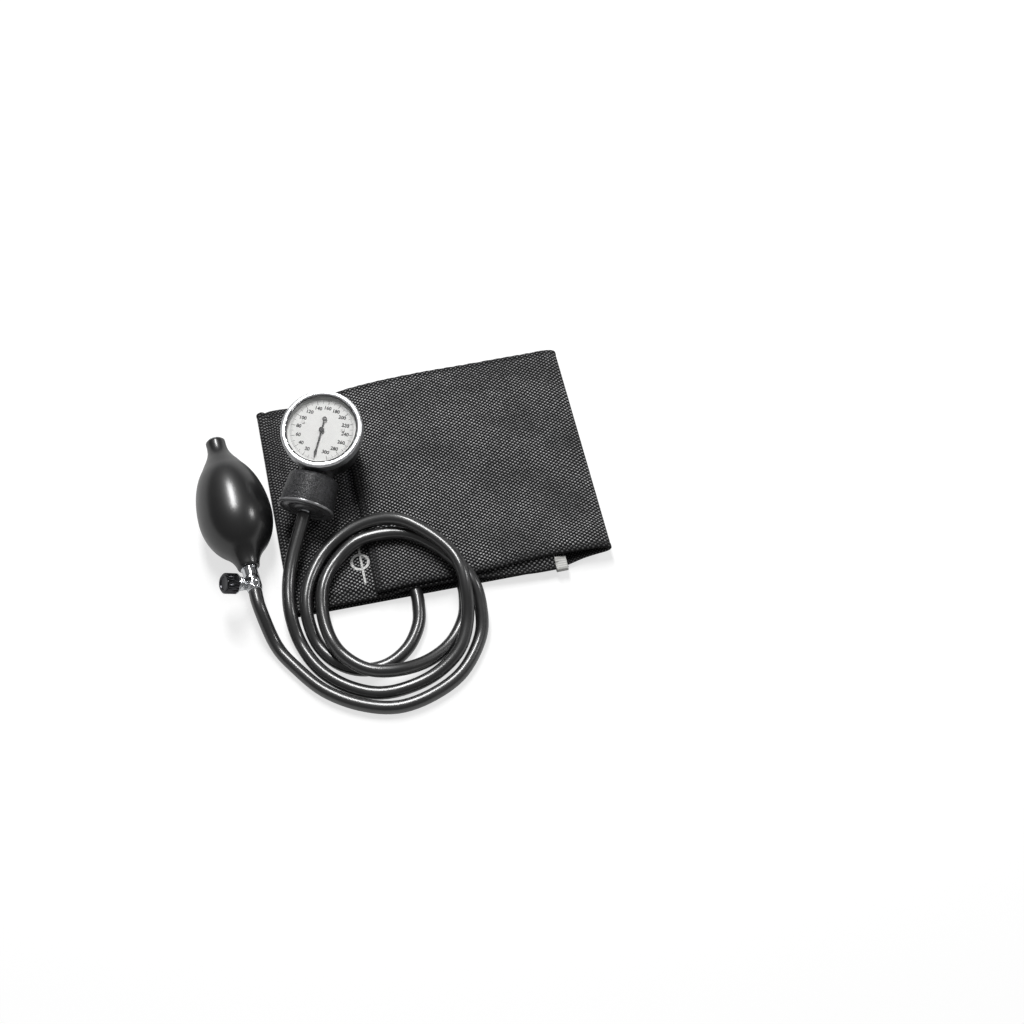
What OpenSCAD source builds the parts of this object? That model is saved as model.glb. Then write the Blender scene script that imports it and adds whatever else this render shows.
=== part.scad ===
// Aneroid sphygmomanometer: folded arm cuff, inflation bulb with release valve, dial gauge and two hoses.
// The cuff lies folded in three on the floor, its near edge along X, and the gauge lies on top of it.
// Origin: middle of the cuff's flat underside. +X along the near edge, +Y across the cuff, +Z up.

/* [Cuff] */
// Width of the cuff strip
cuff_w = 149; // [130:1:160]
// Length of the folded cuff, from fold to fold
fold_l = 188; // [180:1:196]
// Length of the middle panel, from the left fold to its free end
middle_l = 161; // [158:1:164]
// Length of the top flap, from the right fold to its free end
flap_l = 137; // [130:1:140]
// Thickness of each woven layer
cloth_t = 0.9; // [0.7:0.05:1.1]
// Gap between the two woven layers where they are sewn together
seam_gap = 0.2; // [0.1:0.05:0.3]
// Clearance between stacked panels
panel_gap = 0.25; // [0.2:0.05:0.4]
// How far the cloth is drawn in at its far left corner
far_draw = 5; // [2:0.5:6]
// How much of its height the stack loses at its far left corner
far_sag = 0.4; // [0.2:0.05:0.5]
// Rise of each woven layer over the bladder
puff = 2.4; // [2.3:0.05:2.8]
// Height of the right fold, middle of layer to middle of layer
right_fold_h = 4.6; // [4.2:0.1:5.4]
// Thickness of the hook and loop patches
patch_t = 0.8; // [0.6:0.1:1]
// Length of the loop patch under the bottom panel
loop_l = 164; // [120:1:170]
// Length of the hook patch under the flap
hook_l = 62; // [40:1:70]
// Width of both patches
patch_w = 118; // [80:1:126]

/* [Bladder] */
// Length of the rubber bladder
bladder_l = 138; // [130:1:140]
// Width of the rubber bladder
bladder_w = 120; // [100:1:124]
// Clearance round the bladder
bladder_gap = 0.2; // [0.15:0.05:0.3]
// Outer diameter of a port tube
port_d = 4.4; // [4:0.1:4.6]
// Wall of a port tube
port_wall = 0.9; // [0.7:0.1:1.1]
// Length of a port tube outside the cuff
port_out = 9; // [6:1:12]
// Place along X of the port of the gauge hose
port_gauge_x = -22; // [-24:1:-20]
// Place along X of the port of the bulb hose
port_bulb_x = 5; // [3:1:7]

/* [Hoses] */
// Outer diameter of both hoses
hose_d = 7.5; // [7:0.1:7.6]
// Number of sides of a hose
hose_sides = 10; // [8:2:12]

/* [Gauge case] */
// Outer diameter of the bezel
bezel_d = 47.4; // [46.8:0.1:49]
// Width of the bezel's front ring
bezel_ring = 3; // [2.4:0.1:3.4]
// Height of the bezel over the dial
bezel_h = 3.6; // [3.3:0.1:4.2]
// Length of the bezel's skirt below the dial
bezel_skirt = 3.4; // [2.5:0.1:4]
// Wall of the bezel
bezel_wall = 0.8; // [0.6:0.05:1]
// Depth of the case behind the dial
case_depth = 28; // [27:0.5:29]
// Wall of the case
case_wall = 1.8; // [1.5:0.1:2.1]
// Radius of the case at its back, before its rounded edge
case_back_r = 18.6; // [18:0.1:19.5]
// Diameter of the drum at its open end
drum_d = 31.4; // [31:0.1:32]
// Diameter of the drum at its shoulder
drum_top_d = 29; // [28.4:0.1:29.6]
// Distance from the dial's centre to the drum's open end
drum_end = 43; // [42:0.5:44]
// Depth of the drum's axis behind the dial
drum_axis = 14; // [13.8:0.1:14.4]
// Wall of the drum
drum_wall = 1.7; // [1.4:0.1:1.9]
// Thickness of the drum cover
cover_t = 1.6; // [1.4:0.1:2]
// Overhang of the cover over the drum
cover_lip = 0.8; // [0.6:0.1:1]

/* [Gauge front] */
// Thickness of the lens
lens_t = 1.1; // [0.9:0.1:1.4]
// Gap between dial and lens
lens_gap = 1.9; // [1.8:0.1:2]
// Thickness of the dial plate
dial_t = 0.5; // [0.4:0.05:0.8]
// Length of the pointer from its axis to its tip
pointer_l = 17.4; // [14:0.1:18]
// Length of the pointer's tail
pointer_tail = 8; // [6:0.5:9]
// Diameter of the pointer's hub
hub_d = 3; // [2.4:0.1:3.6]

/* [Movement] */
// Gear module
gear_module = 0.24; // [0.23:0.005:0.25]
// Teeth of the pinion
pinion_teeth = 10; // [10:1:10]
// Teeth of a full circle of the sector
sector_circle = 100; // [98:1:102]
// Turn of the sector, zero to full scale
sector_turn = 33.6; // [30:0.1:34]
// Thickness of the sector
sector_t = 0.8; // [0.6:0.1:1.1]
// Length of the lever that the push pin lifts
lever_l = 3.2; // [3:0.1:3.4]
// Diameter of the arbors
arbor_d = 1; // [0.9:0.05:1.1]
// Radial clearance of an arbor in its hole
arbor_gap = 0.05; // [0.02:0.01:0.08]
// Thickness of the movement plates
plate_t = 1; // [0.8:0.1:1.2]
// Distance between the movement plates
plate_space = 9; // [8.4:0.1:9.4]
// Diameter of the push pin
pin_d = 1.8; // [1.6:0.1:2]
// Turns of the hairspring
hair_turns = 4; // [3:0.5:4]
// Gap between two turns of the hairspring
hair_pitch = 1; // [0.8:0.05:1.1]
// Thickness of the hairspring's strip
hair_t = 0.18; // [0.12:0.02:0.24]

/* [Capsule] */
// Clearance round the capsule at the narrow end of the drum's bore
capsule_gap = 0.1; // [0.1:0.1:1.5]
// Height of the capsule at its rim
capsule_rim = 1.2; // [0.8:0.1:1.6]
// Depth of a corrugation
ripple_h = 0.7; // [0.4:0.05:0.9]
// Number of corrugations
ripples = 4; // [3:1:5]
// Thickness of the capsule's sheet
sheet_t = 0.3; // [0.2:0.05:0.4]
// Distance from the dial's centre to the capsule's middle plane
capsule_at = 32; // [31:0.5:33]

/* [Back clip] */
// Width of the clip
clip_w = 11; // [8:0.5:14]
// Thickness of the clip's strip
clip_t = 1; // [0.8:0.1:1.2]
// Distance from the dial's centre line to the place where the clip's blade rests
clip_reach = 9; // [7:0.5:10]

/* [Bulb] */
// Greatest diameter of the bulb
bulb_d = 42.6; // [40:0.1:42.6]
// Length of the long half of the bulb, towards the inlet
bulb_tail_l = 39.4; // [36:0.1:41]
// Length of the short half of the bulb, towards the release valve
bulb_head_l = 28.3; // [27:0.1:30]
// Wall of the bulb
bulb_wall = 2.2; // [1.8:0.1:2.6]
// Outer diameter of the bulb's necks
neck_d = 11.4; // [11:0.1:12]
// Distance from the bulb's middle to the end of the inlet neck
tail_end = 51.5; // [50:0.5:53]
// Distance from the bulb's middle to the end of the valve neck
head_end = 34.3; // [33.8:0.1:34.8]
// Bore of both necks
neck_bore = 7.2; // [7:0.1:7.6]

/* [Valves] */
// Diameter of the valve's barrel
valve_d = 9.2; // [9:0.1:10]
// Length of the valve's barrel
valve_l = 15; // [14.5:0.1:15.5]
// Distance of the release screw from the neck's end
screw_at = 10.6; // [10.2:0.1:10.8]
// Diameter of the release screw
screw_d = 3; // [2.8:0.1:3.2]
// Radial clearance of the release screw
screw_gap = 0.05; // [0.02:0.01:0.08]
// Rise of the release screw in one turn
screw_pitch = 0.6; // [0.4:0.1:0.7]
// Turns from shut to fully open
screw_turns = 1.5; // [1:0.25:1.5]
// Direction of the release screw round the valve
knob_angle = 146; // [140:1:152]
// Diameter of the knob
knob_d = 11.8; // [10:0.1:13]
// Length of the knob
knob_l = 8.4; // [7:0.1:10]
// Number of the knob's flutes
knob_flutes = 28; // [20:1:36]
// Diameter of the barbs in the hoses
barb_d = 4.4; // [4:0.1:4.8]
// Length of the barbs in the hoses
barb_l = 9; // [7:0.5:11]
// Lift of the two check discs
disc_lift = 0.8; // [0.5:0.1:0.9]
// Thickness of the two check discs
disc_t = 0.8; // [0.6:0.1:1]

/* [Hidden] */

$fn = 64;
slip = 0.05;    // face-to-face clearance between turned pieces that are seated in each other
cut = 0.5;      // overrun of a cutting solid past the face that it opens

// Finishes as they look
black_cloth = "#232325";
black_rubber = "#1b1b1c";
black_paint = "#2a2a2c";
chrome = "#c9cbce";
brass = "#b59a58";
steel = "#9a9da2";
dial_white = "#eeeeea";
grey_tape = "#c9c9c9";

// Heights of the stacked panels, each at the middle between its two woven layers
half_seam = seam_gap / 2;
half_panel = half_seam + cloth_t;
bottom_z = patch_t + half_panel;
middle_z = bottom_z + 2 * half_panel + panel_gap + puff;
flap_z = middle_z + 2 * half_panel + puff + 2 * panel_gap + patch_t;
middle_top = middle_z + half_panel + puff;
flap_top = flap_z + half_panel;
left_r = (middle_z - bottom_z) / 2;
right_r = right_fold_h / 2;
left_x = -fold_l / 2 + half_panel + left_r;
right_x = fold_l / 2 - half_panel - right_r;
middle_end = -fold_l / 2 + middle_l;
ramp_lap = 10.5;    // overlap of the middle panel and the rise of the bottom panel to the right fold
patch_margin = 6;   // bare cloth between the flap's free end and the hook patch
flap_end = fold_l / 2 - flap_l;
ramp_foot = middle_end - ramp_lap;
hook_x0 = flap_end + patch_margin;
flap_xs = steps(right_x, hook_x0, 4);

// The pocket is the part of the middle panel that the bladder puffs up
pocket_margin = 7;
pocket_ramp = 17;
bladder_x1 = middle_end - pocket_margin - 1;
bladder_x0 = bladder_x1 - bladder_l;
pocket_x1 = bladder_x1 + pocket_margin;
pocket_x0 = max(left_x + 1, bladder_x0 - pocket_margin);
bladder_y = bladder_w / 2;
pocket_y = bladder_y + pocket_margin;

// The mouth is the part of the near edge that stays open round the two port tubes
mouth_x = (port_gauge_x + port_bulb_x) / 2;
mouth_half = (port_bulb_x - port_gauge_x) / 2 + port_d;
mouth_ramp = 12;

function smooth(u) = let (v = max(0, min(1, u))) v * v * (3 - 2 * v);
function steps(a, b, n) = [for (i = [0 : n]) a + (b - a) * i / n];

// Stations along the strip: [x, z, direction angle], from the middle panel's free end to the flap's
fold_steps = 6;
pocket_xs = concat(
    [bladder_x1, bladder_x1 - 5, pocket_x1 - pocket_ramp,
        (pocket_x1 - pocket_ramp + mouth_x + mouth_half + mouth_ramp) / 2],
    [for (d = [mouth_ramp, mouth_ramp / 2, 0]) mouth_x + mouth_half + d],
    [mouth_x],
    [for (d = [0, mouth_ramp / 2, mouth_ramp]) mouth_x - mouth_half - d],
    [(pocket_x0 + pocket_ramp + mouth_x - mouth_half - mouth_ramp) / 2],
    [pocket_x0 + pocket_ramp, bladder_x0 + 5, bladder_x0]
);
strip = concat(
    [for (x = concat([middle_end, pocket_x1], pocket_xs, [pocket_x0, left_x])) [x, middle_z, 180]],
    [for (a = [1 : fold_steps - 1]) let (t = 90 + 180 * a / fold_steps)
        [left_x + left_r * cos(t), bottom_z + left_r + left_r * sin(t), t + 90]],
    [for (x = steps(left_x, ramp_foot, 5)) [x, bottom_z, 360]],
    [for (u = [0.2 : 0.2 : 1]) [ramp_foot + (right_x - ramp_foot) * u,
        bottom_z + (flap_z - right_fold_h - bottom_z) * smooth(u), 360]],
    [for (a = [1 : fold_steps - 1]) let (t = -90 + 180 * a / fold_steps)
        [right_x + right_r * cos(t), flap_z - right_r + right_r * sin(t), t + 90]],
    [for (x = concat(flap_xs, [flap_end])) [x, flap_z, 180]]
);
columns = let (edge = [pocket_y - pocket_ramp, bladder_y - 5, bladder_y, pocket_y, cuff_w / 2])
    concat([for (i = [4 : -1 : 0]) -edge[i]], [0, 16, 34], edge);

// How far the bladder lifts a woven layer of the middle panel at place x, y
function mouth(x) = smooth(1 - (abs(x - mouth_x) - mouth_half) / mouth_ramp);
function lift(x, y) = puff * smooth((x - pocket_x0) / pocket_ramp) * smooth((pocket_x1 - x) / pocket_ramp)
    * (y < 0 ? max(mouth(x), smooth((pocket_y + y) / pocket_ramp)) : smooth((pocket_y - y) / pocket_ramp));
function station_lift(s, y) = s < len(pocket_xs) + 3 ? lift(strip[s][0], y) : 0;

// The stack isn't quite square: its far left corner is drawn in and pressed down
function drape(p) = [p[0],
    p[1] - far_draw * smooth((15 - p[0]) / 110) * smooth((p[1] + 30) / 104),
    patch_t + (p[2] - patch_t) * (1 - far_sag * smooth((-20 - p[0]) / 60) * smooth((p[1] - 5) / 65))];
function off_strip(s, y, d) =
    drape([strip[s][0] + d * sin(strip[s][2]), y, strip[s][1] - d * cos(strip[s][2])]);

// A closed sheet over a grid of stations, between two faces given as lists of rows of points
module sheet(face_a, face_b) {
    rows = len(face_a);
    cols = len(face_a[0]);
    count = rows * cols;
    points = concat([for (row = face_a) each row], [for (row = face_b) each row]);
    function quad(a, b, c, d) = [[a, b, c], [a, c, d]];
    faces = concat(
        [for (i = [0 : rows - 2], j = [0 : cols - 2]) let (k = i * cols + j)
            each quad(k, k + 1, k + cols + 1, k + cols)],
        [for (i = [0 : rows - 2], j = [0 : cols - 2]) let (k = count + i * cols + j)
            each quad(k, k + cols, k + cols + 1, k + 1)],
        [for (i = [0 : rows - 2], k = [0, 1]) let (a = i * cols + k * (cols - 1), b = a + cols)
            each (k == 0 ? quad(a, b, b + count, a + count) : quad(a, a + count, b + count, b))],
        [for (j = [0 : cols - 2], k = [0, 1]) let (a = j + k * (rows - 1) * cols, b = a + 1)
            each (k == 0 ? quad(a, a + count, b + count, b) : quad(a, b, b + count, a + count))]
    );
    polyhedron(points, faces, convexity = 6);
}

module layer(side) {
    inner = [for (s = [0 : len(strip) - 1]) [for (y = columns)
        off_strip(s, y, side * (half_seam + station_lift(s, y)))]];
    outer = [for (s = [0 : len(strip) - 1]) [for (y = columns)
        off_strip(s, y, side * (half_panel + station_lift(s, y)))]];
    if (side > 0) sheet(inner, outer);
    else sheet(outer, inner);
}

module cuff_outer_cloth() {
    color(black_cloth) layer(1);
}

module cuff_lining() {
    color(black_cloth) layer(-1);
}

// The bladder follows the two layers at its own clearance
module bladder() {
    ys = [for (y = columns) if (abs(y) <= bladder_y) y];
    function face(side) = [for (x = pocket_xs) [for (y = ys)
        drape([x, y, middle_z + side * (half_seam + puff * smooth((x - pocket_x0) / pocket_ramp)
            * smooth((pocket_x1 - x) / pocket_ramp) * smooth((pocket_y - abs(y)) / pocket_ramp) - bladder_gap)])]];
    color(black_rubber) sheet(face(-1), face(1));
}

module bladder_ports() {
    color(black_rubber)
        for (x = [port_gauge_x, port_bulb_x])
            translate([x, -bladder_y, middle_z]) rotate([90, 0, 0])
                difference() {
                    cylinder(d = port_d, h = cuff_w / 2 - bladder_y + port_out);
                    translate([0, 0, -cut])
                        cylinder(d = port_d - 2 * port_wall, h = cuff_w + port_out);
                }
}

module rounded_plate(l, w, t, r) {
    linear_extrude(t)
        difference() {
            translate([-l / 2, -w / 2]) square([l, w]);
            for (i = [-1, 1], j = [-1, 1])
                translate([i * l / 2, j * w / 2])
                    difference() {
                        square(2 * r, center = true);
                        translate([-i * r, -j * r]) circle(r);
                    }
        }
}

// The hook patch follows the flap's underside
module hook_patch() {
    ys = concat([-patch_w / 2], [for (y = columns) if (abs(y) < patch_w / 2) y], [patch_w / 2]);
    xs = [hook_x0 + hook_l, flap_xs[3], hook_x0];
    function face(d) = [for (x = xs) [for (y = ys) drape([x, y, flap_z - half_panel - d])]];
    color(black_cloth) sheet(face(patch_t), face(slip));
}

module loop_patch() {
    color(black_cloth) rounded_plate(loop_l, patch_w, patch_t, 6);
}

// A strip of constant thickness along a bent line
function bent(line, t) = let (n = len(line) - 1)
    [for (i = [0 : n]) let (a = line[max(0, i - 1)], b = line[min(n, i + 1)], d = (b - a) / norm(b - a))
        line[i] + t / 2 * [-d[1], d[0]]];
module bent_strip(line, t, w) {
    back = bent(line, -t);
    translate([0, 0, -w / 2])
        linear_extrude(w)
            polygon(concat(bent(line, t), [for (i = [len(back) - 1 : -1 : 0]) back[i]]));
}

// Size tag: a tape folded over the near edge at the middle panel's free end
module size_tag() {
    tag_t = 0.4;
    tag_w = 6.6;
    tag_l = 7;
    r = half_panel + slip + tag_t / 2;
    line = concat(
        [[tag_l, r]],
        [for (a = [90 : 30 : 270]) r * [cos(a), sin(a)]],
        [[tag_l, -r]]
    );
    color(grey_tape)
        translate([middle_end - tag_w / 2 - 0.5, -cuff_w / 2, middle_z])
            rotate([90, 0, 90]) bent_strip(line, tag_t, tag_w);
}

// Gauge: it rests on its drum cover and its back clip, tilted towards the near edge
gauge_tilt = 14;
gauge_turn = -26;
cover_rest = -0.15;
gauge_z = middle_top + cover_rest + (drum_end + cover_t - 0.5) * sin(gauge_tilt)
    + (drum_axis + drum_d / 2 + cover_lip) * cos(gauge_tilt);
gauge_pos = [-57.8, 16.5, gauge_z];
module at_gauge() {
    translate(gauge_pos) rotate([gauge_tilt, 0, gauge_turn]) children();
}
// Along the drum's axis: Z points out of the drum towards the hose
module at_drum() {
    at_gauge() translate([0, 0, -drum_axis]) rotate([90, 0, 0]) children();
}
function turn_x(p, a) = [p[0], p[1] * cos(a) - p[2] * sin(a), p[1] * sin(a) + p[2] * cos(a)];
function turn_z(p, a) = [p[0] * cos(a) - p[1] * sin(a), p[0] * sin(a) + p[1] * cos(a), p[2]];
function from_gauge(p) = gauge_pos + turn_z(turn_x(p, gauge_tilt), gauge_turn);

case_r = bezel_d / 2 - bezel_wall - slip;
rim_wall = 0.9;
seat_r = case_r - rim_wall;
dial_r = seat_r - slip;
cavity_r = case_r - 2.4;
case_body_r = case_r - 0.9;
back_z = -case_depth;
floor_z = back_z + case_wall + 0.2;
edge_r = 3;
pin_hole_r = pin_d / 2 + arbor_gap;
drum_floor = 26;
bezel_gap = 0.3;
cover_z = drum_end;
post_r = 2.4;
post_at = [[-11, 9], [11, 9], [0, -16]];
collar_h = 1.9;
collar_d = 6.4;
gauge_exit_at = cover_z + cover_t + collar_h;
nipple_bore = 2;
nipple_d = 4.8;

module gauge_case() {
    color(black_paint) at_gauge() {
        difference() {
            union() {
                rotate_extrude()
                    polygon(concat(
                        [[0, back_z]],
                        [for (a = [-90 : 15 : 0]) [case_back_r - edge_r + edge_r * cos(a),
                            back_z + edge_r + edge_r * sin(a)]],
                        [[case_body_r, -bezel_skirt - 1.6], [case_r, -bezel_skirt - 0.7], [case_r, lens_gap],
                            [0, lens_gap]]
                    ));
                translate([0, 0, -drum_axis]) rotate([90, 0, 0])
                    rotate_extrude()
                        polygon([[0, 14], [drum_top_d / 2 - 3, 14],
                            [drum_top_d / 2 - 2.2, 19.6], [drum_top_d / 2 - 0.8, 21], [drum_top_d / 2, 23],
                            [drum_d / 2, 38], [drum_d / 2, drum_end - 0.4], [0, drum_end - 0.4]]);
            }
            // bowl for the movement, with a step that carries the dial
            rotate_extrude()
                polygon([[0, floor_z], [case_back_r - case_wall - 1.6, floor_z],
                    [case_back_r - case_wall, floor_z + 1.6], [cavity_r, -bezel_skirt - 1.6],
                    [cavity_r, -dial_t], [seat_r, -dial_t], [seat_r, lens_gap + cut], [0, lens_gap + cut]]);
            // drum for the capsule
            translate([0, 0, -drum_axis]) rotate([90, 0, 0]) {
                translate([0, 0, drum_floor]) cylinder(d1 = drum_top_d - 2 * drum_wall,
                    d2 = drum_d - 2 * drum_wall, h = drum_end - drum_floor);
                cylinder(r = pin_hole_r, h = drum_floor + cut);
            }
            // room for the bezel's skirt where the drum passes under it
            translate([0, 0, -bezel_skirt - bezel_gap])
                difference() {
                    cylinder(r = bezel_d / 2 + bezel_gap, h = 20);
                    translate([0, 0, -cut]) cylinder(r = case_r, h = 20 + 2 * cut);
                }
            for (y = rivet_at)
                translate([0, y, back_z - cut]) cylinder(r = rivet_r, h = case_wall + 2);
        }
        for (p = post_at)
            translate([p[0], p[1], floor_z - 0.1])
                difference() {
                    cylinder(r = post_r, h = plate_back_z - floor_z + 0.1);
                    translate([0, 0, 1.1]) cylinder(d = 1.6, h = case_depth);
                }
    }
}

module bezel() {
    lip_r = bezel_d / 2 - bezel_ring;
    color(chrome) at_gauge()
        rotate_extrude()
            polygon(concat(
                [[case_r + slip, -bezel_skirt], [case_r + slip, lens_gap + lens_t + slip],
                    [lip_r, lens_gap + lens_t + slip], [lip_r, bezel_h - 0.3], [lip_r + 0.5, bezel_h]],
                [for (a = [90 : -15 : 0]) [bezel_d / 2 - 1.4 + 1.4 * cos(a), bezel_h - 1.4 + 1.4 * sin(a)]],
                [[bezel_d / 2, -bezel_skirt]]
            ));
}

module lens() {
    color([0.9, 0.95, 1, 0.35]) at_gauge()
        translate([0, 0, lens_gap]) cylinder(r = case_r - slip, h = lens_t);
}

module spacer_ring() {
    color(grey_tape) at_gauge()
        difference() {
            cylinder(r = seat_r - slip, h = lens_gap);
            translate([0, 0, -cut]) cylinder(r = bezel_d / 2 - bezel_ring, h = lens_gap + 2 * cut);
        }
}

dial_post_at = [[-12, 3], [12, 3]];
dial_screw_r = 0.6;

module dial_plate() {
    color(dial_white) at_gauge()
        translate([0, 0, -dial_t])
            difference() {
                cylinder(r = dial_r, h = dial_t);
                translate([0, 0, -cut]) cylinder(r = arbor_d / 2 + 0.6, h = 2 * cut + dial_t);
                for (p = dial_post_at)
                    translate([p[0], p[1], -cut]) cylinder(r = dial_screw_r + 0.1, h = 2 * cut + dial_t);
            }
}

module dial_screws() {
    color(steel) at_gauge()
        for (p = dial_post_at)
            translate([p[0], p[1], 0]) {
                difference() {
                    cylinder(r = 1.1, h = 0.5);
                    translate([-2, -0.15, 0.25]) cube([4, 0.3, 1]);
                }
                translate([0, 0, -dial_t - 2.5]) cylinder(r = dial_screw_r, h = dial_t + 2.6);
            }
}

module dial_posts() {
    color(brass) at_gauge()
        for (p = dial_post_at)
            translate([p[0], p[1], front_top_z])
                difference() {
                    cylinder(r = 1.5, h = -dial_t - front_top_z);
                    translate([0, 0, -dial_t - front_top_z - 3]) cylinder(r = dial_screw_r + 0.02, h = 4);
                }
}

// Movement: a sector and a pinion between two plates, in a plane parallel to the dial
gear_z = -drum_axis;
plate_back_z = gear_z - plate_space / 2 - plate_t;
front_z = gear_z + plate_space / 2;
front_top_z = front_z + plate_t;
pinion_r = gear_module * pinion_teeth / 2;
sector_r = gear_module * sector_circle / 2;
centre_l = pinion_r + sector_r + 0.04;
sector_pos = [-lever_l, -sqrt(centre_l * centre_l - lever_l * lever_l)];
sector_aim = atan2(-sector_pos[1], -sector_pos[0]);
peg_r = 0.6;
peg_gap = 0.08;
pillar_at = [[-12.5, -6], [12.5, -6], [0, 12.5]];
pillar_r = 1.3;

// Outline of a tooth that stands at angle a: points at root, pitch and tip
function tooth(r_root, r, r_tip, a, w) = [
    for (p = [[r_root, -0.62 * w], [r, -0.5 * w], [r_tip, -0.22 * w], [r_tip, 0.22 * w], [r, 0.5 * w],
        [r_root, 0.62 * w]])
        let (b = a + p[1] / p[0] * 180 / PI) p[0] * [cos(b), sin(b)]
];
tooth_w = PI * gear_module / 2 * 0.8;

module pointer() {
    color("#151516") at_gauge() translate([0, 0, 0.9]) {
        difference() {
            translate([0, 0, -0.2]) cylinder(d = hub_d, h = 0.9);
            translate([0, 0, -cut]) cylinder(d = arbor_d, h = cut + 0.62);
        }
        linear_extrude(0.3)
            difference() {
                union() {
                    polygon([[-0.45, 0], [0.45, 0], [0.35, -pointer_l * 0.7], [0.75, -pointer_l * 0.8],
                        [0, -pointer_l], [-0.75, -pointer_l * 0.8], [-0.35, -pointer_l * 0.7]]);
                    polygon([[-0.4, 0], [0.4, 0], [0.3, pointer_tail - 2], [-0.3, pointer_tail - 2]]);
                    translate([0, pointer_tail - 1.2]) circle(1.4);
                }
                translate([0, pointer_tail - 1.2]) circle(0.7);
                circle(d = arbor_d);
            }
    }
}

module pinion_arbor() {
    color(brass) at_gauge() {
        translate([0, 0, plate_back_z + 0.2]) cylinder(d = arbor_d, h = 1.5 - plate_back_z - 0.2);
        translate([0, 0, gear_z - 1.8])
            linear_extrude(3.6)
                union() {
                    circle(pinion_r - 1.25 * gear_module + 0.06);
                    for (i = [0 : pinion_teeth - 1])
                        polygon(tooth(pinion_r - 1.2 * gear_module, pinion_r, pinion_r + 0.9 * gear_module,
                            sector_aim + 180 + 360 / pinion_teeth * (i + 0.5), tooth_w));
                }
        translate([0, 0, gear_z + 2.4]) cylinder(r = 1, h = 1.4);
    }
}

module hairspring() {
    start_r = 1.15;
    count = 20 * hair_turns;
    function hair(i, d) = let (a = 360 * i / 20, r = start_r + hair_pitch * i / 20 + d) r * [cos(a), sin(a)];
    echo(hairspring_gap = hair_pitch - hair_t);
    color(steel) at_gauge()
        translate([0, 0, gear_z + 2.8])
            linear_extrude(0.6)
                polygon(concat([for (i = [0 : count]) hair(i, 0)],
                    [for (i = [count : -1 : 0]) hair(i, hair_t)]));
}

module movement_plate() {
    difference() {
        intersection() {
            circle(16.6);
            translate([-14.6, -17]) square([29.2, 34]);
        }
        for (p = pillar_at) translate(p) circle(0.7);
        translate([-8, 6.5]) circle(2.6);
        translate([8, 6.5]) circle(2.6);
        circle(arbor_d / 2 + arbor_gap);
        translate(sector_pos) circle(arbor_d / 2 + arbor_gap);
    }
}

module front_plate() {
    stud_r = 1.15 + hair_pitch * hair_turns + hair_t;
    color(brass) at_gauge() {
        translate([0, 0, front_z])
            linear_extrude(plate_t)
                difference() {
                    movement_plate();
                    translate([0, -16]) circle(2.4);
                }
        // stud that holds the outer end of the hairspring
        translate([stud_r + 0.6 + slip, 0, gear_z + 2.6]) cylinder(r = 0.6, h = front_z - gear_z - 2.6 + 0.1);
    }
}

module back_plate() {
    color(brass) at_gauge()
        translate([0, 0, plate_back_z + slip])
            linear_extrude(plate_t - slip)
                difference() {
                    movement_plate();
                    for (p = post_at) translate(p) circle(0.85);
                }
}

module plate_pillars() {
    color(brass) at_gauge()
        for (p = pillar_at)
            translate([p[0], p[1], 0]) {
                translate([0, 0, plate_back_z + plate_t]) cylinder(r = pillar_r, h = plate_space);
                translate([0, 0, plate_back_z + 0.2]) cylinder(r = 0.65, h = plate_space + 2 * plate_t - 0.4);
            }
}

module plate_screws() {
    color(steel) at_gauge()
        for (p = post_at)
            translate([p[0], p[1], plate_back_z + plate_t]) {
                difference() {
                    cylinder(r = 1.5, h = 0.8);
                    translate([-2, -0.2, 0.45]) cube([4, 0.4, 1]);
                }
                translate([0, 0, -5]) cylinder(r = 0.75, h = 5.1);
            }
}

module sector_gear() {
    mesh_half = sector_turn / 2;
    tooth_step = 360 / sector_circle;
    reach = ceil((mesh_half + 1) / tooth_step);
    rest = sector_aim - mesh_half;
    // the tooth that lies nearest the line of centres at rest is in mesh there
    phase = sector_aim - rest - floor((sector_aim - rest) / tooth_step) * tooth_step;
    arm = -mesh_half;
    color(brass) at_gauge()
        translate([sector_pos[0], sector_pos[1], gear_z - sector_t / 2]) {
            linear_extrude(sector_t)
                difference() {
                    union() {
                        for (i = [-reach : reach])
                            polygon(tooth(sector_r - 1.3 * gear_module, sector_r, sector_r + 0.9 * gear_module,
                                rest + phase + tooth_step * i, tooth_w));
                        polygon(concat(
                            [[0, 0]],
                            [for (i = [-8 : 8]) let (a = rest + phase + i / 8 * tooth_step * (reach + 0.4))
                                (sector_r - 1.2 * gear_module) * [cos(a), sin(a)]]
                        ));
                        circle(1.3);
                        rotate(arm) translate([0, -0.3]) square([lever_l, 0.6]);
                        rotate(arm) translate([lever_l, 0]) circle(peg_r);
                    }
                    circle(arbor_d / 2 + 0.02);
                    // window that lightens the sector
                    polygon(concat(
                        [for (i = [-6 : 6]) let (a = rest + phase + i / 8 * tooth_step * reach)
                            (sector_r - 2.2) * [cos(a), sin(a)]],
                        [for (i = [3 : -1 : -3]) let (a = rest + phase + i / 8 * tooth_step * reach)
                            5 * [cos(a), sin(a)]]
                    ));
                }
            rotate(arm) translate([lever_l, 0, -0.4]) cylinder(r = peg_r, h = sector_t + 0.8);
        }
}

module sector_arbor() {
    color(steel) at_gauge()
        translate([sector_pos[0], sector_pos[1], plate_back_z + 0.2]) {
            cylinder(d = arbor_d, h = plate_space + 2 * plate_t - 0.4);
            translate([0, 0, plate_t + 0.1]) cylinder(r = 1.1, h = plate_space / 2 - sector_t / 2 - 0.4);
        }
}

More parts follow.
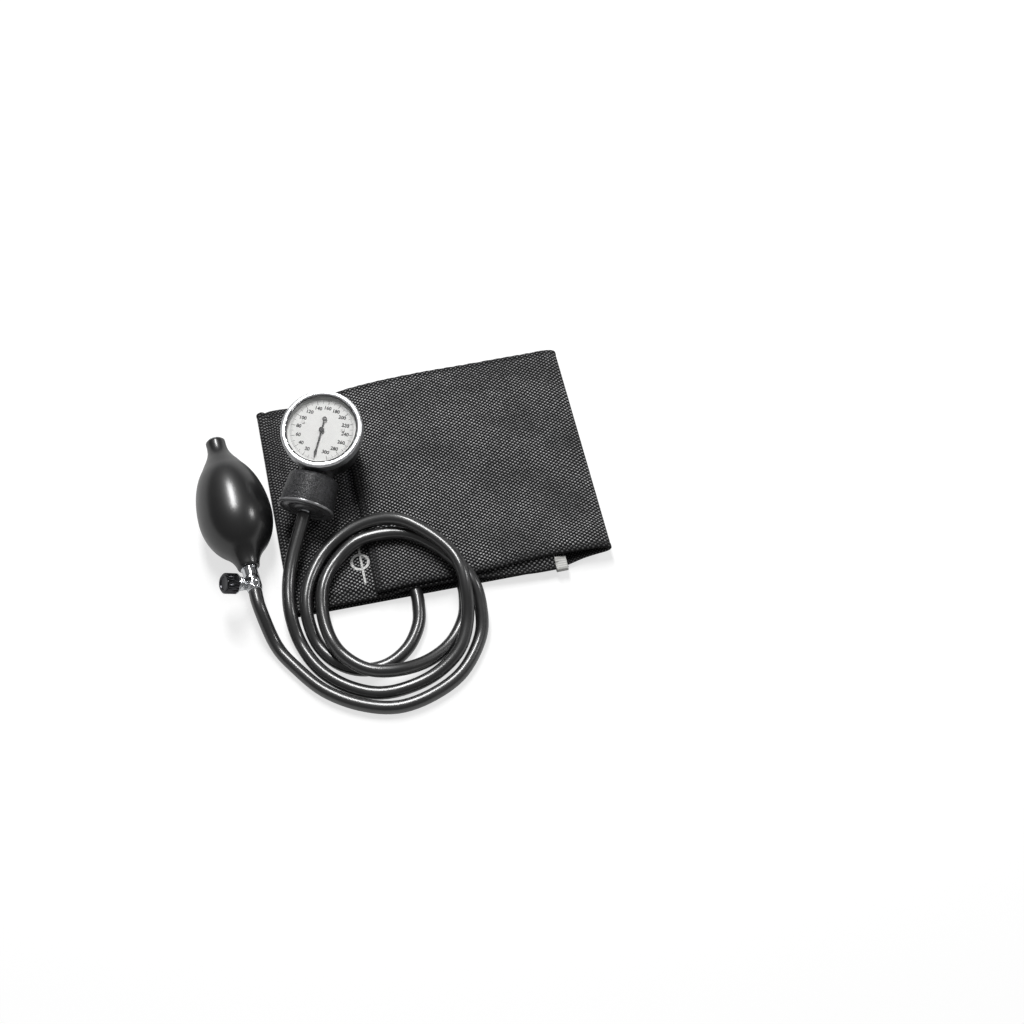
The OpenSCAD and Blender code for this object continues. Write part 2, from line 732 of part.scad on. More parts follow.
// Push pin: from the capsule's crown through the wall of the case to the sector's lever
peg_rest = sector_pos[1] - lever_l * sin(sector_turn / 2);
pin_top = -(peg_rest - peg_r - peg_gap);
capsule_d = drum_top_d - 2 * drum_wall - 2 * capsule_gap;
capsule_half = 2.2 + ripple_h / 2;
crown_h = 1.2;
pin_foot = capsule_at - capsule_half - crown_h - slip;
module push_pin() {
    color(steel) at_drum() {
        translate([0, 0, pin_top]) cylinder(r = 0.5, h = 3);
        translate([0, 0, pin_top + 2.8]) cylinder(d = pin_d, h = pin_foot - pin_top - 2.8);
    }
}

module capsule() {
    n = 24;
    r0 = 3;
    r1 = capsule_d / 2;
    function wave(i, side, d) = let (u = i / n)
        [r0 + (r1 - 1.2 - r0) * u,
            side * ((capsule_half - ripple_h / 2 - d) * (1 - u) + (capsule_rim / 2 - d) * u
                + ripple_h / 2 * sin(360 * ripples * u) * sin(180 * u))];
    module half(side) {
        rotate_extrude()
            polygon(concat(
                [[hub_bore, side * (capsule_half - ripple_h / 2)]],
                [for (i = [0 : n]) wave(i, side, 0)],
                [[r1, side * capsule_rim / 2], [r1, 0], [r1 - 1.2, 0]],
                [for (i = [n : -1 : 0]) wave(i, side, sheet_t)],
                [[hub_bore, side * (capsule_half - ripple_h / 2 - sheet_t)]]
            ));
    }
    color(brass) at_drum() translate([0, 0, capsule_at]) {
        half(1);
        half(-1);
        // crown under the push pin
        translate([0, 0, -capsule_half - crown_h]) cylinder(r = 2.2, h = crown_h + ripple_h);
        // hub on the nipple's stem
        translate([0, 0, capsule_half - ripple_h / 2 - sheet_t])
            difference() {
                cylinder(r = 3.4, h = hub_h);
                translate([0, 0, -cut]) cylinder(r = hub_bore, h = hub_h + 2 * cut);
            }
    }
}
hub_h = 2;
hub_bore = nipple_d / 2 - 0.8;
stem_seat = capsule_at + capsule_half - ripple_h / 2 - sheet_t + hub_h;

module drum_cover() {
    color(black_paint) at_drum()
        difference() {
            rotate_extrude()
                polygon([
                    [nipple_d / 2 + slip, cover_z], [drum_d / 2 + slip, cover_z], [drum_d / 2 + slip, cover_z - 2.4],
                    [drum_d / 2 + cover_lip - 0.3, cover_z - 2.4], [drum_d / 2 + cover_lip, cover_z - 2.1],
                    [drum_d / 2 + cover_lip, cover_z + cover_t - 0.5], [drum_d / 2 + cover_lip - 0.5, cover_z + cover_t],
                    [drum_d / 2 - 1.4, cover_z + cover_t], [drum_d / 2 - 2, cover_z + cover_t - 0.6],
                    [6.4, cover_z + cover_t - 0.6], [5.6, cover_z + cover_t], [nipple_d / 2 + slip, cover_z + cover_t]
                ]);
        }
}

module cover_gasket() {
    color(black_rubber) at_drum()
        translate([0, 0, drum_end - 0.4])
            difference() {
                cylinder(d = drum_d - 0.2, h = 0.4);
                translate([0, 0, -cut]) cylinder(d = drum_d - 2 * drum_wall, h = 2);
            }
}

// A hose barb of three steps along Z
module barb(d, l, ribs) {
    step = l / ribs;
    for (i = [0 : ribs - 1])
        translate([0, 0, i * step]) cylinder(d1 = d, d2 = d - 0.7, h = step);
}

module gauge_nipple() {
    color(chrome) at_drum()
        difference() {
            union() {
                translate([0, 0, stem_seat - hub_h]) cylinder(d = nipple_d - 1.8, h = hub_h + 0.1);
                translate([0, 0, stem_seat]) cylinder(d = nipple_d, h = cover_z + cover_t - stem_seat);
                translate([0, 0, cover_z + cover_t]) cylinder(d = collar_d, h = collar_h);
                translate([0, 0, gauge_exit_at]) barb(barb_d, barb_l, 3);
            }
            translate([0, 0, stem_seat - hub_h - cut]) cylinder(d = nipple_bore, h = 60);
        }
}

module capsule_nut() {
    color(brass) at_drum()
        translate([0, 0, cover_z - 2.2])
            difference() {
                cylinder(d = 8, h = 2.2 - slip, $fn = 6);
                translate([0, 0, -cut]) cylinder(d = nipple_d + 2 * slip, h = 4);
            }
}

// Back clip: a spring strip riveted to the back, bent round at the top and brought down as a hook
function rest_z(y) = (middle_top - gauge_z - y * sin(gauge_tilt)) / cos(gauge_tilt);
clip_stand = back_z - rest_z(-clip_reach) - clip_t - 0.15;
rivet_at = [2, 9];
rivet_r = 1;
clip_line = let (r = 3.4, top = 13.5)
    concat(
        [[-3, 0], [top, 0]],
        [for (a = [60 : -30 : -90]) [top + r * cos(a), -r + r * sin(a)]],
        [[8, -2 * r - 0.3], [4 - clip_reach, -clip_stand + 1], [-clip_reach, -clip_stand],
            [-clip_reach - 2, -clip_stand + 0.6], [-clip_reach - 4.4, -clip_stand + 3]]
    );
module back_clip() {
    color(steel) at_gauge()
        translate([0, 0, back_z - clip_t / 2])
            difference() {
                rotate([90, 0, 90]) bent_strip(clip_line, clip_t, clip_w);
                for (y = rivet_at)
                    translate([0, y, -clip_t]) cylinder(r = rivet_r, h = 2 * clip_t);
            }
}

module clip_rivets() {
    color(steel) at_gauge()
        for (y = rivet_at)
            translate([0, y, back_z - clip_t - 0.7]) {
                cylinder(r1 = 1.3, r2 = 1.8, h = 0.7);
                cylinder(r = rivet_r, h = clip_t + case_wall + 1.1);
            }
}

// Bulb and release valve: one axis, Z from the inlet neck to the hose
bulb_tilt = 5;
bulb_turn = 5;
bulb_pos = [-115.5, -12.5, 21.4];
module at_bulb() {
    translate(bulb_pos) rotate([90 + bulb_tilt, 0, bulb_turn]) children();
}
module at_valve() {
    at_bulb() translate([0, 0, head_end]) children();
}
// Along the release screw: Z points out of the valve towards the knob
module at_screw() {
    at_valve() translate([0, 0, screw_at]) rotate([0, 0, knob_angle]) rotate([0, 90, 0]) children();
}
function from_bulb(p) = bulb_pos + turn_z(turn_x(p, 90 + bulb_tilt), bulb_turn);
bulb_exit_at = head_end + valve_l;

neck_blend = 2.6;
bulb_steps = 14;
// Outline of the bulb at distance d inside its skin, from the inlet end to the valve end
function bulb_half(d, l, a0, a1) = [for (i = [0 : bulb_steps]) let (a = a0 + (a1 - a0) * i / bulb_steps)
    [(bulb_d / 2 - d) * sin(a), -(l - d) * cos(a)]];
neck_angle = asin(neck_d / bulb_d * 1.25);
bore_angle = asin(neck_bore / (bulb_d - 2 * bulb_wall));

module bulb() {
    color(black_rubber) at_bulb()
        rotate_extrude($fn = 96)
            difference() {
                polygon(concat(
                    [[0, -tail_end], [neck_d / 2 - 0.5, -tail_end], [neck_d / 2, -tail_end + 0.6],
                        [neck_d / 2 - 0.1, -tail_end + 4], [neck_d / 2, -tail_end + 8]],
                    bulb_half(0, bulb_tail_l, neck_angle, 90),
                    [for (p = [for (i = [1 : bulb_steps]) bulb_half(0, bulb_head_l, 90, 180 - neck_angle)[i]]) p],
                    [[neck_d / 2 + 0.1, bulb_head_l], [neck_d / 2 - 0.1, head_end - neck_blend],
                        [neck_d / 2 - 0.1, head_end - 0.4], [neck_d / 2 - 0.5, head_end], [0, head_end]]
                ));
                polygon(concat(
                    [[-cut, -tail_end - cut], [neck_bore / 2, -tail_end - cut]],
                    bulb_half(bulb_wall, bulb_tail_l, bore_angle, 90),
                    [for (i = [1 : bulb_steps]) bulb_half(bulb_wall, bulb_head_l, 90, 180 - bore_angle)[i]],
                    [[neck_bore / 2, head_end + cut], [-cut, head_end + cut]]
                ));
            }
}

// Inlet valve at the tail: Z points into the bulb
module at_inlet() {
    at_bulb() translate([0, 0, -tail_end]) children();
}
plug_l = 8.6;
flange_t = 1.1;
chamber_r = 2.5;
seat_z = 1.4;
module inlet_valve_body() {
    color(chrome) at_inlet()
        difference() {
            union() {
                translate([0, 0, -flange_t]) cylinder(d1 = neck_bore + 1.6, d2 = neck_bore + 2.6, h = flange_t);
                cylinder(d = neck_bore - 2 * slip, h = plug_l);
            }
            translate([0, 0, -flange_t - cut]) cylinder(r = 1, h = plug_l);
            translate([0, 0, seat_z]) cylinder(r = chamber_r, h = plug_l);
        }
}

module inlet_disc() {
    color("#8a3b2a") at_inlet()
        translate([0, 0, seat_z + slip]) cylinder(r = chamber_r - 0.4, h = disc_t);
}

cage_z = seat_z + slip + disc_t + disc_lift + 0.15;
module inlet_cage() {
    color(brass) at_inlet()
        translate([0, 0, cage_z])
            difference() {
                cylinder(r = chamber_r - slip, h = 2.4);
                translate([0, 0, -cut]) cylinder(r = 0.8, h = 4);
                for (a = [45 : 90 : 315])
                    rotate(a) translate([1.7, 0, -cut]) cylinder(r = 0.45, h = 4);
            }
}

// Release valve: a turned barrel with a barb in the bulb's neck, a side boss and a barb in the hose
neck_barb_l = 11;
check_z = 1.6;
stop_z = check_z + slip + disc_t + disc_lift + 0.1;
boss_d = 7.2;
boss_end = 8.4;
pad_z = 2.4;
module valve_body() {
    color(chrome) difference() {
        union() {
            at_valve() {
                translate([0, 0, -neck_barb_l]) cylinder(d = neck_bore - 2 * slip, h = neck_barb_l + 0.1);
                rotate_extrude()
                    polygon([
                        [0, 0], [valve_d / 2 + 0.3, 0], [valve_d / 2 + 0.3, 1.2], [valve_d / 2 - 0.2, 1.7],
                        [valve_d / 2 - 0.2, 5.6], [valve_d / 2, 6], [valve_d / 2, valve_l - 1.8],
                        [valve_d / 2 - 0.3, valve_l - 1.4], [valve_d / 2 - 0.3, valve_l - 0.4],
                        [valve_d / 2 - 0.7, valve_l], [0, valve_l]
                    ]);
                translate([0, 0, valve_l]) barb(barb_d, barb_l, 3);
            }
            at_screw() {
                translate([0, 0, 1]) cylinder(d = boss_d, h = boss_end - 1);
                translate([0, 0, boss_end - 1.2]) cylinder(d = boss_d + 0.6, h = 0.8);
            }
        }
        at_valve() {
            translate([0, 0, -neck_barb_l - cut]) cylinder(r = chamber_r, h = neck_barb_l + stop_z + cut);
            cylinder(r = 1.1, h = valve_l + barb_l + cut);
            // slots that let the air past the disc when it lies on its stop
            for (a = [0, 90])
                rotate(a) translate([-chamber_r + 0.1, -0.4, stop_z - 0.1]) cube([2 * chamber_r - 0.2, 0.8, 0.8]);
        }
        at_screw() {
            cylinder(r = 0.8, h = 4);
            translate([0, 0, pad_z]) cylinder(d = screw_d + 2 * screw_gap, h = 20);
            translate([0, 0, 5.2]) rotate([0, 90, 0]) cylinder(r = 0.5, h = 6);
        }
    }
}

module outlet_seat() {
    color(brass) at_valve()
        translate([0, 0, check_z - 2])
            difference() {
                cylinder(r = chamber_r - slip, h = 2);
                translate([0, 0, -cut]) cylinder(r = 1.1, h = 4);
            }
}

module outlet_disc() {
    color("#8a3b2a") at_valve()
        translate([0, 0, check_z + slip]) cylinder(r = chamber_r - 0.4, h = disc_t);
}

bonnet_h = 2.2;
module bonnet() {
    color(chrome) at_screw()
        translate([0, 0, boss_end])
            difference() {
                union() {
                    cylinder(d = boss_d + 1, h = bonnet_h - 0.6);
                    cylinder(d = boss_d - 0.6, h = bonnet_h);
                }
                translate([0, 0, -cut]) cylinder(d = screw_d + 2 * screw_gap, h = bonnet_h + 2 * cut);
            }
}

pad_t = 0.8;
screw_tip = pad_z + pad_t + 2 * slip;
knob_z = boss_end + bonnet_h + 0.4;
collar_l = 1.1;
module seat_pad() {
    color(black_rubber) at_screw()
        translate([0, 0, pad_z + slip]) cylinder(d = screw_d - 0.4, h = pad_t);
}

module release_screw() {
    color(steel) at_screw()
        translate([0, 0, screw_tip]) cylinder(d = screw_d, h = knob_z + knob_l - 2 - screw_tip);
}

module knob_collar() {
    color(chrome) at_screw()
        translate([0, 0, knob_z])
            difference() {
                union() {
                    cylinder(d1 = knob_d - 1, d2 = knob_d, h = 0.4);
                    translate([0, 0, 0.4]) cylinder(d = knob_d, h = collar_l - 0.4);
                }
                translate([0, 0, -cut]) cylinder(d = screw_d + 0.04, h = collar_l + 2 * cut);
            }
}

module release_knob() {
    color(black_paint) at_screw()
        translate([0, 0, knob_z + collar_l])
            difference() {
                union() {
                    linear_extrude(knob_l - collar_l - 0.8)
                        polygon([for (i = [0 : 2 * knob_flutes - 1])
                            (knob_d / 2 - (i % 2) * 0.35) * [cos(180 * i / knob_flutes), sin(180 * i / knob_flutes)]]);
                    cylinder(d1 = knob_d - 1, d2 = knob_d - 2, h = knob_l - collar_l);
                }
                translate([0, 0, -cut]) cylinder(d = screw_d + 0.04, h = knob_l - collar_l - 2 + cut);
                translate([0, 0, knob_l - collar_l - 0.6]) cylinder(d1 = knob_d - 5, d2 = knob_d - 4, h = 1);
            }
}

// Routes of the hoses, through points where each hose lies; both leave the near edge of the middle panel
port_y = -cuff_w / 2 - 0.3;
on_floor = hose_d / 2 + 0.2;
on_middle = middle_top + hose_d / 2 + 0.3;
on_flap = flap_top + hose_d / 2 + 0.3;
gauge_route = concat(
    [[port_gauge_x, port_y, middle_z], [port_gauge_x, port_y - 8, middle_z]],
    [
        [-24.5, -95.5, on_floor + 0.7], [-33, -108.5, on_floor], [-46, -116.5, on_floor], [-61, -116.5, on_floor],
        [-74, -108.5, on_floor], [-82.4, -94.5, on_floor + 0.5], [-85, -78, on_middle - 2.6],
        [-81.2, -62, on_middle + 0.6], [-69.5, -44, on_middle + 1.4], [-54, -34, on_flap + 0.6],
        [-38.5, -31.7, on_flap + 3.8], [-24, -36, on_flap + 7], [-11.5, -46.6, on_flap + 8], [-1.4, -59.4, on_flap + 8.1],
        [4.2, -73, on_flap + 8.2], [5, -87, on_flap + 4], [2.6, -102.5, 13], [-5.2, -117.6, 8.2],
        [-20, -128, on_floor + 1.2], [-38, -133, on_floor + 0.1], [-55, -132.5, on_floor], [-71.5, -124, on_floor],
        [-84, -110.5, on_floor], [-91.5, -93, on_floor + 0.8], [-94, -77, on_middle - 2.4],
        [-92.5, -61, on_middle + 0.6], [-88, -46, 17.8]
    ],
    [for (d = [hose_d + 3, 0]) from_gauge([0, -gauge_exit_at - d, -drum_axis])]
);
bulb_route = concat(
    [[port_bulb_x, port_y, middle_z], [port_bulb_x, port_y - 8, middle_z]],
    [
        [1.5, -96.5, on_floor + 0.7], [-9, -111, on_floor + 0.6], [-24, -120.5, on_floor + 3],
        [-41, -124.5, on_floor + 6.8], [-57, -121.5, on_floor + 8.2], [-69, -110.5, on_floor + 8.2],
        [-74.8, -95.5, on_floor + 5.6], [-76.2, -79, on_middle - 2.4], [-73, -64.2, on_middle + 0.6],
        [-63.6, -50.4, on_middle + 1], [-51, -41.6, on_flap - 0.4], [-35, -39.4, on_flap], [-20, -42.6, on_flap],
        [-7, -53, on_flap], [3.5, -67, on_flap + 0.2], [10.2, -80, on_flap - 0.7], [11.8, -94.5, 10.6], [8.3, -110.5, 5.2],
        [-5.6, -129.5, on_floor], [-24.5, -140, on_floor], [-45, -143.5, on_floor], [-65, -137.5, on_floor],
        [-83, -125, on_floor], [-96, -108, on_floor], [-105, -92, on_floor + 1.4]
    ],
    [for (d = [hose_d + 4, 0]) from_bulb([0, 0, bulb_exit_at + d])]
);

// Smooth curve through the points of a route, two steps to each point
function curve(p, i, u) = let (n = len(p) - 1, a = p[max(0, i - 1)], b = p[i], c = p[i + 1], d = p[min(n, i + 2)])
    b + u * (c - a) / 2 + u * u * (a - 2.5 * b + 2 * c - d / 2) + u * u * u * (1.5 * b - a / 2 - 1.5 * c + d / 2);
function smooth_route(p) = concat([for (i = [0 : len(p) - 2], u = [0, 0.5]) curve(p, i, u)], [p[len(p) - 1]]);
function unit(v) = v / norm(v);
function heading(p, i) = let (n = len(p) - 1)
    i == 0 ? unit(p[1] - p[0]) : i == n ? unit(p[n] - p[n - 1]) : unit(unit(p[i + 1] - p[i]) + unit(p[i] - p[i - 1]));
function length_of(p, i = 0) = i >= len(p) - 1 ? 0 : norm(p[i + 1] - p[i]) + length_of(p, i + 1);

module hose(route, name) {
    line = smooth_route(route);
    n = len(line);
    k = hose_sides;
    r = hose_d / 2;
    echo(name, length_mm = length_of(line));
    echo(name, least_gap_mm = min([for (i = [0 : n - 1], j = [i + 5 : 1 : n - 1]) norm(line[i] - line[j])]) - hose_d);
    points = [for (i = [0 : n - 1]) let (h = heading(line, i), s = unit(cross_of(h, [0, 0, 1])), t = cross_of(s, h))
        for (j = [0 : k - 1]) line[i] + r * (cos(360 * (j + 0.5) / k) * s + sin(360 * (j + 0.5) / k) * t)];
    faces = concat(
        [for (i = [0 : n - 2], j = [0 : k - 1]) let (a = i * k + j, b = i * k + (j + 1) % k)
            each [[a, b + k, b], [a, a + k, b + k]]],
        [for (j = [1 : k - 2]) [0, j, j + 1]],
        [for (j = [1 : k - 2]) [(n - 1) * k, (n - 1) * k + j + 1, (n - 1) * k + j]]
    );
    polyhedron(points, faces, convexity = 10);
}
function cross_of(a, b) = [a[1] * b[2] - a[2] * b[1], a[2] * b[0] - a[0] * b[2], a[0] * b[1] - a[1] * b[0]];

module gauge_hose() {
    color(black_rubber) hose(gauge_route, "gauge_hose");
}

module bulb_hose() {
    color(black_rubber) hose(bulb_route, "bulb_hose");
}

cuff_outer_cloth();
cuff_lining();
bladder();
bladder_ports();
hook_patch();
loop_patch();
size_tag();
gauge_hose();
bulb_hose();
gauge_case();
bezel();
lens();
spacer_ring();
dial_plate();
dial_screws();
dial_posts();
pointer();
pinion_arbor();
hairspring();
front_plate();
back_plate();
plate_pillars();
plate_screws();
sector_gear();
sector_arbor();
push_pin();
capsule();
drum_cover();
cover_gasket();
gauge_nipple();
capsule_nut();
back_clip();
clip_rivets();
bulb();
inlet_valve_body();
inlet_cage();
inlet_disc();
valve_body();
outlet_seat();
outlet_disc();
bonnet();
seat_pad();
release_screw();
release_knob();
knob_collar();
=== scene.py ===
# %% [markdown]
# # Aneroid sphygmomanometer
# A blood pressure set lies on a pale table: an arm cuff folded in three, a dial gauge on top of it, a rubber
# squeeze bulb beside it and two rubber hoses wound in loose turns. The solids come from the CAD model, and this
# lesson gives each of them its visible form and finish. Sizes are written in millimetres, in the CAD model's own
# frame, and MM turns them into metres.

# %% The CAD frame
import bpy
import bmesh
import math
from mathutils import Matrix, Vector, noise


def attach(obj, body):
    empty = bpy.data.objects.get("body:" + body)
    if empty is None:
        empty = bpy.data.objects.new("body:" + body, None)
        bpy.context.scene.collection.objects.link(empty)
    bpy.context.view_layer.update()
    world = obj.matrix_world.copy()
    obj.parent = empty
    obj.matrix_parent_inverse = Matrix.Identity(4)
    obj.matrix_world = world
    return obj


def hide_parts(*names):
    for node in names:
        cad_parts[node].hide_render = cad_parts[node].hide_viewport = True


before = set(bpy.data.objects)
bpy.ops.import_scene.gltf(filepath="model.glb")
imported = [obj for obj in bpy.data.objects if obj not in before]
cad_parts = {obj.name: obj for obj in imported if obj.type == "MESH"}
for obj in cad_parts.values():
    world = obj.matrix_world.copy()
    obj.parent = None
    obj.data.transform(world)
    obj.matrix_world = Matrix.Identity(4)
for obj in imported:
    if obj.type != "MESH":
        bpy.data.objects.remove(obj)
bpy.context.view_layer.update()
MM = 0.001


def add_object(name, data):
    """A new object in the scene that shows this data."""
    added = bpy.data.objects.new(name, data)
    bpy.context.scene.collection.objects.link(added)
    return added


# %% [markdown]
# ## Camera
# The picture is taken from above and in front, with a long lens, so the parallel edges of the cuff hardly meet.
# The camera stands 1.065 m from a point beside the cuff and looks down at 57.5 degrees. It is turned 12.3
# degrees, so the cuff's near edge climbs to the right. With a sensor of 36 mm across 1024 pixels, a focal length of
# 1800 pixels is a lens of 63.3 mm.

# %% Camera
focal_px, frame_px, sensor_mm = 1800, 1024, 36
distance = 1.065
aim = Vector((44, -30, 0)) * MM
turn, rise = math.radians(-12.3), math.radians(57.5)
back = Vector((math.sin(turn) * math.cos(rise), -math.cos(turn) * math.cos(rise), math.sin(rise)))
lens_data = bpy.data.cameras.new("camera")
lens_data.lens = focal_px * sensor_mm / frame_px
lens_data.clip_start, lens_data.clip_end = 0.05, 20
camera = add_object("camera", lens_data)
camera.location = aim + back * distance
camera.rotation_mode = "QUATERNION"
camera.rotation_quaternion = (-back).to_track_quat("-Z", "Y")
bpy.context.scene.camera = camera
print("camera at", [round(v, 3) for v in camera.location])

# %% [markdown]
# ## Colours and nodes
# A colour is written as the hex value that a picture shows, and Blender's shaders want linear light, so one
# function turns one into the other. One more function adds a shader node with its settings and wires it up, and a
# third starts a finish with one Principled shader. The rest are what most finishes share: a noise that sits on the
# piece, two colours mixed, a roughness that varies, and a bump.

# %% Helpers for materials
def hex_colour(text):
    values = [int(text[i:i + 2], 16) / 255 for i in (1, 3, 5)]
    return [v / 12.92 if v <= 0.04045 else ((v + 0.055) / 1.055) ** 2.4 for v in values] + [1.0]


def add_node(tree, kind, inputs=None, out=0, **settings):
    node = tree.nodes.new("ShaderNode" + kind)
    for name, value in settings.items():
        setattr(node, name, value)
    for name, value in (inputs or {}).items():
        if isinstance(value, bpy.types.NodeSocket):
            tree.links.new(value, node.inputs[name])
        else:
            node.inputs[name].default_value = value
    return node.outputs[out]


def new_finish(name, base, roughness, metallic=0.0, **sockets):
    material = bpy.data.materials.new(name)
    material.use_nodes = True
    tree = material.node_tree
    shader = tree.nodes["Principled BSDF"]
    shader.inputs["Base Color"].default_value = hex_colour(base)
    shader.inputs["Roughness"].default_value = roughness
    shader.inputs["Metallic"].default_value = metallic
    for key, value in sockets.items():
        shader.inputs[key.replace("_", " ")].default_value = value
    return material, tree, shader


def speckle(tree, scale, **more):
    """Noise that sits on the piece, so many waves to the metre."""
    place = add_node(tree, "TexCoord", out="Object")
    return add_node(tree, "TexNoise", {"Vector": place, "Scale": scale, **more})


def product(tree, a, b):
    return add_node(tree, "Math", {0: a, 1: b}, operation="MULTIPLY")


def scaled(tree, value, start, stop, low=0.0, high=1.0, **settings):
    """Goes from low to high as the value goes from start to stop."""
    return add_node(tree, "MapRange", {"Value": value, "From Min": start, "From Max": stop, "To Min": low,
                                       "To Max": high}, **settings)


def tint(tree, shader, factor, dark, light):
    """The colour goes from dark to light as the factor goes from 0 to 1."""
    colour = add_node(tree, "Mix", {"Factor": factor, 6: hex_colour(dark), 7: hex_colour(light)}, out=2,
                      data_type="RGBA")
    tree.links.new(colour, shader.inputs["Base Color"])


def roughen(tree, shader, value, least, most, start=0.0, stop=1.0):
    """The roughness goes from least to most as the value goes from start to stop."""
    tree.links.new(scaled(tree, value, start, stop, least, most), shader.inputs["Roughness"])


def emboss(tree, shader, height, strength, depth=0.1):
    """A bump; its depth is in millimetres."""
    bump = add_node(tree, "Bump", {"Height": height, "Strength": strength, "Distance": depth * MM})
    tree.links.new(bump, shader.inputs["Normal"])


def paint(piece, material):
    piece.data.materials.clear()
    piece.data.materials.append(material)


# %% [markdown]
# ## Rubber of the hoses
# The hoses are extruded natural rubber with carbon black: nearly black, satin under a smooth glossy skin, with a
# dull bloom in patches. The bloom is a slow noise on the roughness, and a very fine noise gives the extruder's skin.

# %% Hose rubber
hose_rubber, tree, shader = new_finish("extruded_black_rubber", "#161617", 0.45, IOR=1.5, Specular_IOR_Level=0.7,
                                       Coat_Weight=0.5, Coat_Roughness=0.2, Coat_IOR=1.9)
roughen(tree, shader, speckle(tree, 60.0, Detail=3.0), 0.38, 0.52, 0.35, 0.7)
emboss(tree, shader, speckle(tree, 1500.0, Detail=2.0), 0.12)

# %% [markdown]
# ## The two hoses
# Each hose is one length of tube, 7.5 mm thick, that leaves a port at the cuff's near edge and winds one and a
# half turns over the floor and up over the cuff. Its centreline is one smooth curve through points chosen on the
# floor, on the middle panel and on the flap. A ring of sixteen points is swept along the line. A swept mesh was
# chosen over a bevelled curve because its ends can be shaped: the far end is a little wider, where the barb
# stretches it.

# %% Routes of the hoses
hose_d = 7.5
floor_h = 3.95                      # height of a hose's middle on the floor,
middle_h = 9.85 + hose_d / 2 + 0.3  # on the middle panel
flap_h = 13.15 + hose_d / 2 + 0.3   # and on the flap
gauge_matrix = (Matrix.Translation((-57.8, 16.5, 49.963)) @ Matrix.Rotation(math.radians(-26), 4, "Z")
                @ Matrix.Rotation(math.radians(14), 4, "X"))
bulb_matrix = (Matrix.Translation((-115.5, -12.5, 21.4)) @ Matrix.Rotation(math.radians(5), 4, "Z")
               @ Matrix.Rotation(math.radians(95), 4, "X"))
gauge_route = [
    (-22, -74.8, 6.45), (-22, -82.8, 6.45), (-24.5, -95.5, floor_h + 0.7), (-33, -108.5, floor_h),
    (-46, -116.5, floor_h), (-61, -116.5, floor_h), (-74, -108.5, floor_h), (-82.4, -94.5, floor_h + 0.5),
    (-85, -78, middle_h - 2.6), (-81.2, -62, middle_h + 0.6), (-69.5, -44, middle_h + 1.4),
    (-54, -34, flap_h + 0.6), (-38.5, -31.7, flap_h + 3.8), (-24, -36, flap_h + 7), (-11.5, -46.6, flap_h + 8),
    (-1.4, -59.4, flap_h + 8.1), (4.2, -73, flap_h + 8.2), (5, -87, flap_h + 4), (2.6, -102.5, 13),
    (-5.2, -117.6, 8.2), (-20, -128, floor_h + 1.2), (-38, -133, floor_h + 0.1), (-55, -132.5, floor_h),
    (-71.5, -124, floor_h), (-84, -110.5, floor_h), (-91.5, -93, floor_h + 0.8), (-94, -77, middle_h - 2.4),
    (-92.5, -61, middle_h + 0.6), (-88, -46, 17.8),
    tuple(gauge_matrix @ Vector((0, -57, -14))), tuple(gauge_matrix @ Vector((0, -46.5, -14)))]
bulb_route = [
    (5, -74.8, 6.45), (5, -82.8, 6.45), (1.5, -96.5, floor_h + 0.7), (-9, -111, floor_h + 0.6),
    (-24, -120.5, floor_h + 3), (-41, -124.5, floor_h + 6.8), (-57, -121.5, floor_h + 8.2),
    (-69, -110.5, floor_h + 8.2), (-74.8, -95.5, floor_h + 5.6), (-76.2, -79, middle_h - 2.4),
    (-73, -64.2, middle_h + 0.6), (-63.6, -50.4, middle_h + 1), (-51, -41.6, flap_h - 0.4),
    (-35, -39.4, flap_h), (-20, -42.6, flap_h), (-7, -53, flap_h), (3.5, -67, flap_h + 0.2),
    (10.2, -80, flap_h - 0.7), (11.8, -94.5, 10.6), (8.3, -110.5, 5.2), (-5.6, -129.5, floor_h),
    (-24.5, -140, floor_h), (-45, -143.5, floor_h), (-65, -137.5, floor_h), (-83, -125, floor_h),
    (-96, -108, floor_h), (-105, -92, floor_h + 1.4),
    tuple(bulb_matrix @ Vector((0, 0, 60.8))), tuple(bulb_matrix @ Vector((0, 0, 49.3)))]


def curve_at(points, i, u):
    """Catmull-Rom curve, from point i at u = 0 to the next one at u = 1."""
    a, b, c, d = points[max(0, i - 1)], points[i], points[i + 1], points[min(len(points) - 1, i + 2)]
    return (b + u * (c - a) / 2 + u * u * (a - 2.5 * b + 2 * c - d / 2)
            + u ** 3 * (1.5 * b - a / 2 - 1.5 * c + d / 2))


def smooth_line(points, steps):
    """The curve through all the points, in metres."""
    p = [Vector(q) * MM for q in points]
    return [curve_at(p, i, k / steps) for i in range(len(p) - 1) for k in range(steps)] + [p[-1]]


def line_length(line):
    return sum((b - a).length for a, b in zip(line, line[1:]))


lines = {"gauge": smooth_line(gauge_route, 6), "bulb": smooth_line(bulb_route, 6)}
for name, line in lines.items():
    print(name, "hose is", round(line_length(line) / MM, 1), "mm long")


# %% Sweep a hose
def keep_mesh(name, mesh):
    """Makes a bmesh a smoothly shaded object."""
    bmesh.ops.recalc_face_normals(mesh, faces=mesh.faces)
    data = bpy.data.meshes.new(name)
    mesh.to_mesh(data)
    mesh.free()
    data.shade_smooth()
    return add_object(name, data)


